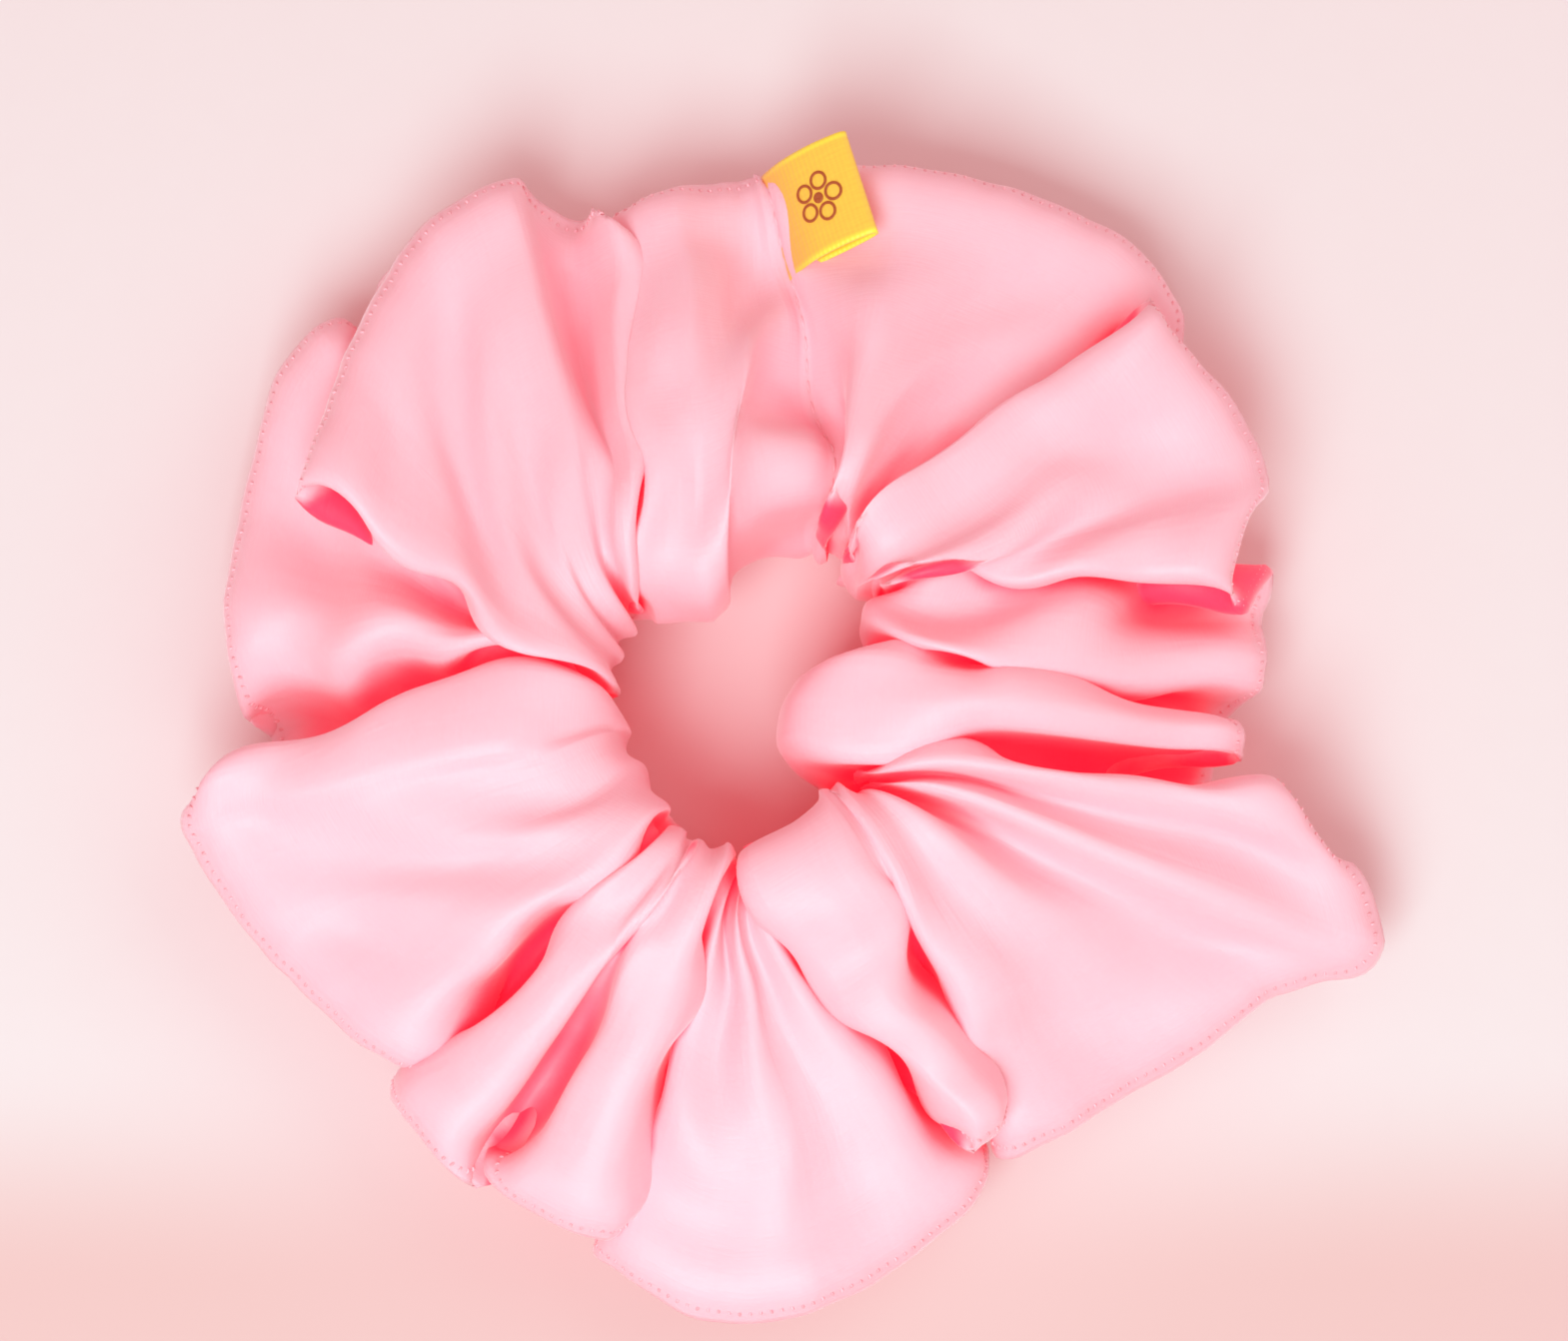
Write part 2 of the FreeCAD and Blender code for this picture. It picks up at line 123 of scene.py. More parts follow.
# One row per fold line, clockwise from the closing seam: a name; how far it is a ridge (1) and
# not a valley (0), at the hole and at the rim; its bearing from +Y in degrees at its inner end,
# over the elastic and at the rim; its inner and outer radius and its height at the rim in mm.
FOLDS = (
    ("seam", 0.1, 0.35, 24, 20, 2, 19.0, 56.0, 13.0),
    ("B1", 1.0, 1.0, 29, 26, 16, 19.5, 59.0, 16.0),
    ("B2", 1.0, 0.9, 36, 31, 28, 20.0, 63.0, 14.0),
    ("B3", 0.2, 0.55, 39, 36, 38, 21.5, 66.0, 11.0),
    ("B4", 0.1, 0.6, 40, 38, 48, 21.5, 66.0, 10.0),
    ("BC", 0.0, 0.0, 41, 40, 52, 20.5, 60.0, 4.0),
    ("C1", 1.0, 1.0, 43, 42, 47, 18.0, 60.5, 21.0),
    ("C12", 0.35, 0.6, 47, 53, 49, 18.0, 59.5, 19.0),
    ("C2", 1.0, 0.9, 51, 57, 56, 17.0, 60.0, 18.0),
    ("C3", 1.0, 0.8, 54, 60, 66, 17.5, 63.0, 15.0),
    ("C4", 1.0, 1.0, 56, 62, 78, 18.0, 52.0, 20.0),
    ("CD", 0.0, 0.2, 59, 64, 78, 19.5, 60.0, 8.0),
    ("D0", 0.8, 0.7, 61, 68, 80, 18.5, 57.0, 11.0),
    ("D01", 0.0, 0.3, 62, 72, 82, 18.5, 56.0, 8.0),
    ("D1", 1.0, 0.95, 66, 76, 86, 14.8, 57.0, 12.0),
    ("D12", 0.0, 0.0, 76, 83, 92, 16.0, 50.0, 4.0),
    ("D2a", 1.0, 1.0, 80, 88, 93, 8.5, 53.0, 13.0),
    ("D2b", 0.85, 0.9, 106, 96, 95, 6.0, 54.5, 13.0),
    ("D2c", 1.0, 1.0, 138, 104, 97, 7.2, 54.5, 13.0),
    ("DE", 0.0, 0.0, 128, 110, 100, 15.5, 50.0, 3.0),
    ("E1", 1.0, 1.0, 126, 113, 101, 16.5, 59.0, 18.0),
    ("E12", 0.5, 0.95, 127, 116, 106, 17.5, 65.0, 14.0),
    ("E2", 0.95, 1.0, 128, 119, 111, 17.0, 77.0, 10.0),
    ("E23", 0.25, 0.85, 129, 123, 117.5, 18.0, 66.5, 9.0),
    ("E3", 0.9, 0.9, 130, 127, 127, 17.5, 62.5, 9.0),
    ("E4", 0.85, 0.9, 132, 131, 137, 17.0, 58.0, 8.0),
    ("E5", 1.0, 1.0, 136, 138, 147.2, 15.5, 57.5, 12.0),
    ("EF", 0.97, 0.0, 139, 140, 148, 15.0, 50.0, 3.0),
    ("F1", 1.0, 0.95, 142, 142.5, 148.6, 14.8, 52.5, 14.0),
    ("F2", 1.0, 1.0, 156, 158, 149.8, 16.0, 53.5, 17.0),
    ("F3", 1.0, 1.0, 171, 175, 151.6, 17.5, 54.5, 19.0),
    ("FG", 0.0, 0.0, 172, 176, 152, 19.5, 50.0, 4.0),
    ("G1", 0.2, 1.0, 174, 177, 152.6, 20.0, 57.5, 11.0),
    ("G12", 0.1, 0.9, 175, 178, 165, 20.5, 63.5, 10.0),
    ("G2", 0.3, 1.0, 176, 179, 172, 20.0, 65.5, 13.0),
    ("G3", 0.25, 0.9, 177, 180, 181, 20.0, 67.5, 11.0),
    ("G4", 0.2, 0.95, 178, 181, 191, 20.0, 61.5, 12.0),
    ("GH", 0.05, 0.05, 179, 182, 191.4, 20.0, 54.0, 3.0),
    ("H1", 1.0, 1.0, 181, 184, 191.8, 17.5, 59.0, 16.0),
    ("H1b", 1.0, 1.0, 189, 192, 205.3, 17.2, 59.0, 15.0),
    ("H12", 1.0, 0.38, 192, 195, 206, 17.2, 51.0, 7.0),
    ("H2", 1.0, 1.0, 196, 199, 207, 17.0, 59.5, 14.0),
    ("H2b", 1.0, 1.0, 203, 206, 218.2, 16.8, 56.0, 14.0),
    ("HI", 0.0, 0.0, 205, 209, 219, 17.5, 49.0, 3.0),
    ("I1", 1.0, 1.0, 207, 211, 219.8, 15.5, 51.5, 15.0),
    ("I2", 0.9, 0.95, 225, 226, 238, 13.2, 55.5, 13.0),
    ("I3", 0.9, 1.0, 244, 246, 255, 12.6, 60.5, 14.0),
    ("I4", 1.0, 1.0, 262, 272, 258, 12.8, 57.5, 19.0),
    ("IJ", 0.0, 0.0, 266, 275, 263, 17.0, 48.0, 3.0),
    ("J1", 0.4, 0.8, 268, 277, 267, 16.5, 50.5, 8.0),
    ("J2", 0.7, 1.0, 270, 279, 276, 16.5, 53.5, 12.0),
    ("J3", 0.2, 0.6, 271, 281, 289, 17.0, 55.5, 9.0),
    ("J4", 0.4, 0.8, 272, 282, 301, 17.0, 58.5, 11.0),
    ("J5", 0.6, 1.0, 273, 283, 312, 17.0, 61.5, 14.0),
    ("JL", 0.1, 0.1, 273, 284, 315, 17.5, 54.0, 6.0),
    ("L", 0.3, 0.95, 273, 285, 324, 17.5, 63.0, 11.0),
    ("LK", 0.0, 0.0, 272, 282, 314, 18.0, 48.0, 4.0),
    ("K1", 1.0, 1.0, 270, 276, 292.5, 13.2, 48.0, 24.0),
    ("K12", 0.9, 0.95, 280, 292, 308, 12.8, 52.0, 21.0),
    ("K2", 0.8, 0.85, 290, 306, 323, 12.6, 59.5, 18.0),
    ("K3", 0.85, 1.0, 300, 318, 336, 13.0, 61.5, 18.0),
    ("K34", 0.6, 0.15, 306, 327, 340, 14.0, 55.0, 10.0),
    ("K4", 1.0, 1.0, 310, 332, 344.2, 13.4, 54.0, 19.0),
    ("KA", 0.0, 0.0, 312, 334, 345, 15.5, 47.5, 6.5),
    ("A1", 0.9, 1.0, 314, 336, 345.9, 12.5, 53.0, 14.5),
    ("A12", 0.6, 0.6, 325, 341, 349, 10.0, 54.0, 13.0),
    ("A2", 1.0, 1.0, 338, 349, 353, 9.0, 55.5, 15.0),
    ("A3", 0.9, 0.7, 355, 359, 357, 9.3, 56.0, 13.0),
    ("A4", 1.0, 0.5, 369, 367, 359.5, 11.5, 56.0, 12.5),
    ("A45", 0.0, 0.4, 373, 371, 360.5, 18.0, 56.0, 12.5),
    ("A5", 1.0, 0.4, 380, 377, 361.2, 16.8, 56.0, 13.0),
)
RIM_CRESTS = np.array([fold[2] for fold in FOLDS])
# The cloth's grid: columns round the ring, and rows round the tube, the rim's halfway.
AROUND, ACROSS = 340, 56
RIM_ROW = ACROSS // 2
# The elastic's section in millimetres: middle, half its size, its rounding and its outer edge.
BRAID_RADIUS, BRAID_MIDDLE = 21.5, 14.0
BRAID_HALF = np.array([1.5, 3.2])
BRAID_ROUND = 0.6
ELASTIC_EDGE = 22.5
NARROWEST_FACET = 3.2
# Settling: its steps, the hold on the start shape first and last, the gap between layers in
# millimetres, how hard the cloth resists a bend over 2 and over 4 grid steps, and how much of its
# flat lengths round and across it takes on.
SETTLE_STEPS = 50
HOLD = (0.12, 0.02)
LAYER_GAP = 1.2
BENDS = ((2, 0.12), (4, 0.25))
FULL_ROUND, FULL_CROSS = 0.15, 0.5
STEP_TIME, GRAVITY, TOP_SPEED, DAMPING = 0.004, 2000.0, 400.0, 0.96
FLOOR_GAP = 0.3
IRON_PASSES = 6
OPEN_RAYS, OPEN_REACH = 24, 25.0


def mix(a, b, share):
    return a + (b - a) * share


def unit(vectors):
    return vectors / (np.linalg.norm(vectors, axis=-1, keepdims=True) + 1e-9)


def travelled(points):
    """The distance gone at each point of a run."""
    steps = np.linalg.norm(np.diff(points, axis=0), axis=1)
    return np.concatenate([[0], np.cumsum(steps)])


def read_along(wanted, run, values):
    """Values given along a run, read at the distances wanted."""
    return np.stack([np.interp(wanted, run, column) for column in values.T], 1)


def ridge_points(inner, outer, height, slack):
    """The tube's section on a ridge, as radius and height, with the rim as its seventh point."""
    crest = max(25.5, height + 3.5)
    sag = mix(9.8, 1.0, slack)
    half_way = mix(30, outer, 0.5)
    return np.array([
        (inner, 16.0), (inner + 1.2, 23.0), (21.5, crest + 1.0), (30.0, crest + 0.5),
        (half_way, mix(crest, height + 2, 0.45)), (outer - 4, height + 1.6), (outer, height),
        (outer - 4, height - 1.0), (half_way, mix(height - 2, sag + 1, 0.5)),
        (30.0, sag + 0.8), (23.0, sag), (18.5, max(sag, 2.0)), (inner + 0.2, 10.0),
    ])


def valley_points(inner, outer, height, slack):
    """The tube's section in a valley, point for point like a ridge's."""
    lift = mix(18.2, 21.0, slack)
    sag = mix(4.0, 0.8, slack)
    half_way = mix(26, outer, 0.4)
    return np.array([
        (inner, 13.0), (19.2, lift - 1.0), (21.8, lift), (26.0, lift - 1.5),
        (half_way, mix(lift - 3, height + 2, 0.55)), (outer - 5, height + 1.2), (outer, height),
        (outer - 5, max(height - 2.0, 0.9)), (half_way, sag + 0.8), (25.0, sag),
        (20.0, sag), (17.5, sag + 2.5), (inner - 0.6, 9.0),
    ])


def fold_section(fold, slack):
    """A fold line's section as radius, bearing and height."""
    _, inner_crest, rim_crest, tip, neck, rim, inner, outer, height = fold
    low = valley_points(inner, outer, height, slack)
    high = ridge_points(inner, outer, height, slack)
    out = np.clip((high[:, :1] - 24.0) / (outer - 10.0 - 24.0), 0, 1)
    # A slit between two folds that share a neck opens late and all at once.
    late = 2.5 if inner_crest > rim_crest + 0.61 else 1.0
    section = mix(low, high, mix(inner_crest, rim_crest, out ** late))
    radius = np.maximum(section[:, 0], 1.0)
    turned = np.clip((1 / ELASTIC_EDGE - 1 / radius) / (1 / ELASTIC_EDGE - 1 / outer), 0, 1)
    within = np.clip((ELASTIC_EDGE - radius) / (ELASTIC_EDGE - inner), 0, 1)
    bearings = mix(neck, rim, turned) + (tip - neck) * within
    return np.stack([section[:, 0], bearings, section[:, 1]], 1)


def to_xyz(points):
    bearing = np.radians(points[..., 1])
    radius = points[..., 0]
    return np.stack([radius * np.sin(bearing), radius * np.cos(bearing), points[..., 2]], -1)


def through(points, steps=10):
    """A smooth run of points that passes through the ones given."""
    share = np.arange(steps)[:, None] / steps
    run = []
    last = len(points) - 1
    for k in range(last):
        a, b, c, d = points[max(k - 1, 0)], points[k], points[k + 1], points[min(k + 2, last)]
        run.append(0.5 * (
            2 * b + (c - a) * share
            + (2 * a - 5 * b + 4 * c - d) * share ** 2
            + (3 * b - a - 3 * c + d) * share ** 3
        ))
    return np.vstack(run + [points[-1:]])


def evenly(points, places, count):
    """Points spaced evenly along a run whose places in space are given, and the run's length."""
    run = travelled(places)
    return read_along(np.linspace(0, run[-1], count), run, points), run[-1]


def fold_loop(fold, girth):
    """A fold line's closed section, as near to the cloth's width round as its slack allows."""
    low, high = 0.0, 1.0
    for _ in range(8):
        slack = (low + high) / 2
        section = fold_section(fold, slack)
        halves = (section[:7], np.vstack([section[6:], section[:1]]))
        smooth = [through(half) for half in halves]
        (top, top_length), (base, base_length) = [
            evenly(run, to_xyz(run), RIM_ROW + 1) for run in smooth
        ]
        if top_length + base_length > girth:
            high = slack
        else:
            low = slack
    return np.vstack([top[:-1], base[:-1]])


def folded_strip(girth):
    """The cover's start shape, its length round, and how near each column is to a fold line."""
    loops = np.array([fold_loop(fold, girth) for fold in FOLDS])
    following = np.roll(loops, -1, 0).copy()
    following[-1, :, 1] += 360
    gaps = np.linalg.norm(to_xyz(following) - to_xyz(loops), axis=2)
    outer = gaps[:, ACROSS // 4:ACROSS - ACROSS // 4].mean(1)
    facets = np.maximum(outer, NARROWEST_FACET)
    total = facets.sum()
    columns = np.concatenate([[0], np.cumsum(facets)]) / total * AROUND
    grid = np.empty((AROUND, ACROSS, 3))
    for i in range(AROUND):
        k = min(int(np.searchsorted(columns, i, side="right") - 1), len(FOLDS) - 1)
        share = (i - columns[k]) / (columns[k + 1] - columns[k])
        eased = 0.5 * (0.5 - 0.5 * np.cos(np.pi * share)) + 0.5 * share
        grid[i] = mix(loops[k], following[k], eased)
    away = np.abs(np.arange(AROUND)[:, None] - columns[None, :-1])
    away = np.minimum(away, AROUND - away)
    sharp = np.where((RIM_CRESTS > 0.95) | (RIM_CRESTS < 0.05), 1.0, 0.4)
    near = np.clip(np.exp(-(away / 1.6) ** 2) @ sharp, 0, 1)
    return to_xyz(grid), total, near


# ---- a small cloth solver on a closed grid ----


def close_pairs(grid, reach, skip):
    """Pairs of grid points within reach of each other that aren't neighbours on the cloth."""
    around, across = grid.shape[:2]
    points = grid.reshape(-1, 3)
    count = len(points)
    cells = np.floor(points / reach).astype(np.int64)
    cells -= cells.min(0) - 1
    spans = cells.max(0) + 2
    keys = (cells[:, 0] * spans[1] + cells[:, 1]) * spans[2] + cells[:, 2]
    order = np.argsort(keys, kind="stable")
    ordered = keys[order]
    first, second = [], []
    for x, y, z in product((-1, 0, 1), repeat=3):
        if (x, y, z) < (0, 0, 0):
            continue
        shift = (x * spans[1] + y) * spans[2] + z
        start = np.searchsorted(ordered, ordered + shift, "left")
        stop = np.searchsorted(ordered, ordered + shift, "right")
        if shift == 0:
            start = np.arange(count) + 1
        found = np.maximum(stop - start, 0)
        if not found.any():
            continue
        places = np.repeat(start, found)
        places += np.arange(found.sum()) - np.repeat(np.cumsum(found) - found, found)
        first.append(order[np.repeat(np.arange(count), found)])
        second.append(order[places])
    a = np.concatenate(first)
    b = np.concatenate(second)
    round_gap = np.abs(a // across - b // across)
    round_gap = np.minimum(round_gap, around - round_gap)
    cross_gap = np.abs(a % across - b % across)
    cross_gap = np.minimum(cross_gap, across - cross_gap)
    apart = (round_gap > skip) | (cross_gap > skip)
    a, b = a[apart], b[apart]
    near = ((points[a] - points[b]) ** 2).sum(1) < reach * reach
    return a[near], b[near]


def pull(ends, starts, rest, stiff, squeeze):
    """Half the move that brings two grids of points back to their rest distance."""
    gap = ends - starts
    length = np.sqrt((gap * gap).sum(-1, keepdims=True)) + 1e-9
    excess = length - rest
    strength = np.where(excess > 0, stiff, squeeze)
    return gap * (0.5 * strength * excess / length)


class Cloth:
    """A closed grid of points that falls and mostly keeps the lengths it was folded with."""

    def __init__(self, grid, round_step, cross_step):
        self.points = grid.copy()
        self.speed = np.zeros_like(grid)
        self.guide = grid.copy()
        self.cross_step = cross_step
        ahead = np.linalg.norm(np.roll(grid, -1, 0) - grid, axis=-1, keepdims=True)
        beside = np.linalg.norm(np.roll(grid, -1, 1) - grid, axis=-1, keepdims=True)
        self.round_rest = mix(ahead, round_step, FULL_ROUND)
        self.cross_rest = mix(beside, cross_step, FULL_CROSS)
        self.slant_rest = np.sqrt(self.round_rest ** 2 + self.cross_rest ** 2)

    def keep_lengths(self, squeeze):
        for axis, rest, press in ((0, self.round_rest, squeeze), (1, self.cross_rest, 0.6)):
            points = self.points.swapaxes(0, axis)
            rest = rest.swapaxes(0, axis)
            for start in (0, 1):
                ahead = np.roll(points, -1, 0)[start::2]
                move = pull(ahead, points[start::2], rest[start::2], 1.0, press)
                points[start::2] += move
                partners = (np.arange(start, len(points), 2) + 1) % len(points)
                points[partners] -= move

    def link(self, step, rest, stiff, squeeze):
        ahead = np.roll(self.points, (-step[0], -step[1]), (0, 1))
        move = pull(ahead, self.points, rest, stiff, squeeze) * 0.5
        self.points += move
        self.points -= np.roll(move, step, (0, 1))

    def part(self, a, b, gap):
        """Moves close points apart until the cloth's two layers fit between them."""
        points = self.points.reshape(-1, 3)
        between = points[b] - points[a]
        length = np.sqrt((between * between).sum(1)) + 1e-9
        move = between * (0.45 * np.minimum(length - gap, 0) / length)[:, None]
        count = len(points)
        touches = np.bincount(a, minlength=count) + np.bincount(b, minlength=count)
        shared = np.sqrt(np.maximum(touches, 1))
        for axis in range(3):
            added = np.bincount(a, move[:, axis], count) - np.bincount(b, move[:, axis], count)
            points[:, axis] += added / shared

    def clear_elastic(self):
        """Moves points out of the elastic's rounded section."""
        points = self.points
        radius = np.sqrt(points[..., 0] ** 2 + points[..., 1] ** 2) + 1e-9
        offset = np.stack([radius - BRAID_RADIUS, points[..., 2] - BRAID_MIDDLE], -1)
        beyond = np.abs(offset) - BRAID_HALF
        outside = np.maximum(beyond, 0)
        reach = np.sqrt((outside ** 2).sum(-1))
        depth = reach + np.minimum(beyond.max(-1), 0) - BRAID_ROUND
        hit = depth < 0
        if not hit.any():
            return
        nearest = np.where(beyond[hit] >= beyond[hit].max(-1, keepdims=True), 1.0, 0.0)
        sloped = outside[hit] / np.maximum(reach[hit], 1e-9)[:, None]
        away = np.where((reach[hit] < 1e-9)[:, None], nearest, sloped) * np.sign(offset[hit])
        push = -depth[hit]
        for axis in (0, 1):
            points[hit, axis] += points[hit, axis] / radius[hit] * away[:, 0] * push
        points[hit, 2] += away[:, 1] * push

    def settle(self, weight, squeeze, skip=3):
        """Lets the cloth fall, held to its start shape less and less."""
        for step in range(SETTLE_STEPS):
            held = mix(*HOLD, step / (SETTLE_STEPS - 1)) * weight
            a, b = close_pairs(self.points, LAYER_GAP * 1.35, skip)
            for _ in range(4):
                before = self.points.copy()
                self.speed[..., 2] -= GRAVITY * STEP_TIME
                self.points += self.speed * STEP_TIME
                self.points += (self.guide - self.points) * held
                for _ in range(2):
                    self.keep_lengths(squeeze)
                    for slant in (1, -1):
                        self.link((1, slant), self.slant_rest, 0.5, squeeze * 0.5)
                    for far, strength in BENDS:
                        self.link((far, 0), far * self.round_rest, 0.0, strength)
                        self.link((0, far), far * self.cross_step, 0.0, strength)
                    self.part(a, b, LAYER_GAP)
                    self.clear_elastic()
                    np.maximum(self.points[..., 2], FLOOR_GAP, out=self.points[..., 2])
                self.speed = (self.points - before) / STEP_TIME * DAMPING
                fastest = np.linalg.norm(self.speed, axis=-1, keepdims=True)
                self.speed *= np.minimum(1.0, TOP_SPEED / np.maximum(fastest, 1e-9))


def finer(grid):
    """The grid with a smooth row and column between each two, and the rim's row left sharp."""
    for axis in (0, 1):
        before = np.roll(grid, 1, axis)
        after = np.roll(grid, -1, axis)
        kept = (before + 6 * grid + after) / 8
        if axis == 1:
            kept[:, RIM_ROW] = grid[:, RIM_ROW]
        added = (grid + after) / 2
        shape = list(grid.shape)
        shape[axis] *= 2
        grid = np.stack([kept, added], axis + 1).reshape(shape)
    return grid


def ironed(grid, creased):
    """The grid with its small wrinkles smoothed out and its creases kept."""
    for _ in range(IRON_PASSES):
        around = (np.roll(grid, 1, 0) + np.roll(grid, -1, 0)) / 2
        across = (np.roll(grid, 1, 1) + np.roll(grid, -1, 1)) / 2
        grid = grid + ((around + across) / 2 - grid) * 0.5 * (1 - creased)
    return grid


def settled_cover(girth):
    """The cover's grid after it has settled, in millimetres, and its length round."""
    start, total, near = folded_strip(girth)
    round_step = total * 1.04 / AROUND
    cloth = Cloth(start, round_step, girth / ACROSS)
    rows = np.arange(ACROSS)
    rim = 1 - np.abs(rows / ACROSS * 2 - 1)
    squeeze = (0.05 + 0.3 * rim ** 1.5)[None, :, None]
    edge = np.exp(-((rows - RIM_ROW) / 2.0) ** 2)[None, :]
    hole = np.exp(-(np.minimum(rows, ACROSS - rows) / 4.0) ** 2)[None, :]
    near = near[:, None]
    kept = np.maximum(np.maximum(near * 0.5, edge * 0.35), near * edge)
    kept = np.maximum(kept, hole * 0.7)
    weight = (1 + 5 * kept)[..., None]
    cloth.settle(weight, squeeze)
    creased = np.maximum(near, edge)
    return finer(ironed(cloth.points, creased[..., None])), total


# ---- meshes ----


def new_object(name, points, faces, material):
    """A smooth mesh object from points in millimetres."""
    mesh = bpy.data.meshes.new(name)
    faces = faces if isinstance(faces, list) else faces.tolist()
    mesh.from_pydata((np.asarray(points) * MM).tolist(), [], faces)
    mesh.shade_smooth()
    mesh.materials.append(material)
    piece = bpy.data.objects.new(name, mesh)
    bpy.context.scene.collection.objects.link(piece)
    return piece


def fill(data, kind, values):
    data.foreach_set(kind, values.reshape(-1).astype(np.float32))


def loop_faces(columns, rows, close_columns=True):
    """Quads of a grid of points that is closed across, and along too if asked."""
    index = np.arange(columns * rows).reshape(columns, rows)
    right = np.roll(index, -1, 0)
    up = np.roll(index, -1, 1)
    across = np.roll(right, -1, 1)
    quads = np.stack([index, right, across, up], -1)
    return (quads if close_columns else quads[:-1]).reshape(-1, 4)


def grid_normals(grid):
    ahead, beside = [np.roll(grid, -1, axis) - np.roll(grid, 1, axis) for axis in (0, 1)]
    return unit(np.cross(ahead, beside))


def openness(grid):
    """How much of the space around each point is open, from 0 to 1."""
    points = grid.reshape(-1, 3)
    tree = BVHTree.FromPolygons(points.tolist(), loop_faces(*grid.shape[:2]).tolist())
    normals = grid_normals(grid).reshape(-1, 3)
    golden = np.pi * (3 - np.sqrt(5))
    steps = np.arange(OPEN_RAYS)
    rise = 1 - (steps + 0.5) / OPEN_RAYS
    spread = np.sqrt(1 - rise ** 2)
    rays = np.stack([spread * np.cos(golden * steps), spread * np.sin(golden * steps), rise], 1)
    open_share = np.empty(len(points))
    for k, (point, normal) in enumerate(zip(points, normals)):
        turn = Vector((0, 0, 1)).rotation_difference(Vector(normal)).to_matrix()
        origin = Vector(point + normal * 0.25)
        clear = 0
        for ray in rays:
            clear += tree.ray_cast(origin, turn @ Vector(ray), OPEN_REACH)[0] is None
        open_share[k] = clear / OPEN_RAYS
    return open_share.reshape(grid.shape[:2])


# ---- materials ----


def opaque(colour):
    return (*colour, 1.0)


def times(colour, shares):
    return tuple(part * share for part, share in zip(colour, shares))


def add(tree, kind, inputs=None, out=0, **settings):
    """Adds a shader node with its settings, values and links, and gives one of its outputs."""
    node = tree.nodes.new(kind)
    for name, value in settings.items():
        setattr(node, name, value)
    for name, value in (inputs or {}).items():
        if isinstance(value, bpy.types.NodeSocket):
            tree.links.new(value, node.inputs[name])
        else:
            node.inputs[name].default_value = value
    return node.outputs[out] if node.outputs else None


def wave_scale(spacing):
    """The wave texture's scale for bands this far apart, drawn twice as wide so that they show."""
    return 1 / (spacing * 6.283)


def new_tree(name):
    """A new material's empty node tree."""
    material = bpy.data.materials.new(name)
    material.use_nodes = True
    material.node_tree.nodes.clear()
    return material, material.node_tree


def finish(material, sockets):
    """Ends a material in a shader with these values and links."""
    tree = material.node_tree
    add(tree, "ShaderNodeOutputMaterial", {"Surface": add(tree, "ShaderNodeBsdfPrincipled", sockets)})
    return material


def satin_material(cloth):
    """Woven polyester satin, piece-dyed pink, with painted shade and painted red light in its folds."""
    material, tree = new_tree("woven polyester satin, pink")
    open_share = add(tree, "ShaderNodeAttribute", out="Fac", attribute_name="openness")
    cloth_uv = add(tree, "ShaderNodeUVMap", uv_map="cloth")
    # Painted shade: where the cloth is least open, the base colour turns from the satin's pink to a hot
    # pink. This stands in for light that passes from fold to fold and reddens.
    depth = add(tree, "ShaderNodeMapRange", {
        "Value": open_share, "From Min": 0.04, "From Max": 0.42, "To Min": 1.0, "To Max": 0.0,
    }, interpolation_type="SMOOTHSTEP")
    # Dye takes a little unevenly over a few centimetres.
    patches = add(tree, "ShaderNodeTexNoise", {
        "Vector": add(tree, "ShaderNodeTexCoord", out="Object"), "Scale": 1 / 0.012, "Detail": 2.0,
    })
    deeper = add(tree, "ShaderNodeMath", {0: patches, 1: 0.16, 2: -0.08}, operation="MULTIPLY_ADD")
    share = add(tree, "ShaderNodeMath", {0: depth, 1: deeper}, operation="ADD", use_clamp=True)
    colour = add(tree, "ShaderNodeMix", {
        0: share, 6: opaque(cloth.satin), 7: opaque(cloth.painted_fold_shade),
    }, out=2, data_type="RGBA")
    # Satin floats lie along the strip, 0.25 mm apart; drawn 0.4 mm apart so that they show.
    floats = add(tree, "ShaderNodeTexNoise", {
        "Vector": add(tree, "ShaderNodeMapping", {
            "Vector": cloth_uv, "Scale": (1 / 0.004, 1 / 0.0004, 1.0),
        }),
        "Scale": 1.0, "Detail": 3.0, "Roughness": 0.6,
    })
    # Fine creases left by the gathering, a few millimetres apart and longest across the strip.
    creases = add(tree, "ShaderNodeTexNoise", {
        "Vector": add(tree, "ShaderNodeMapping", {
            "Vector": cloth_uv, "Scale": (1 / 0.0022, 1 / 0.011, 1.0),
        }),
        "Scale": 1.0, "Detail": 2.0, "Distortion": 0.4,
    })
    soft = add(tree, "ShaderNodeBump", {"Height": creases, "Distance": 0.0004, "Strength": 0.25})
    fine = add(tree, "ShaderNodeBump", {
        "Height": floats, "Distance": 0.00006, "Strength": 0.6, "Normal": soft,
    })
    return finish(material, {
        "Base Color": colour,
        # Filament yarn is smooth along its floats and scatters across them: satin's soft gloss.
        "Roughness": add(tree, "ShaderNodeMapRange", {"Value": floats, "To Min": 0.46, "To Max": 0.60}),
        "Normal": fine,
        "IOR": 1.5,
        "Sheen Weight": 0.35,
        "Sheen Roughness": 0.35,
        "Sheen Tint": (1.0, 0.9, 0.92, 1.0),
        "Subsurface Weight": 0.25,
        "Subsurface Radius": (1.0, 0.25, 0.3),
        "Subsurface Scale": 0.002,
        # Painted light: the satin emits an almost red light in its folds, where the cloth is least
        # open. This stands in for the light that thin satin lets through.
        "Emission Color": opaque(cloth.painted_fold_glow),
        "Emission Strength": add(tree, "ShaderNodeMath", {0: depth, 1: 0.38}, operation="MULTIPLY"),
    })


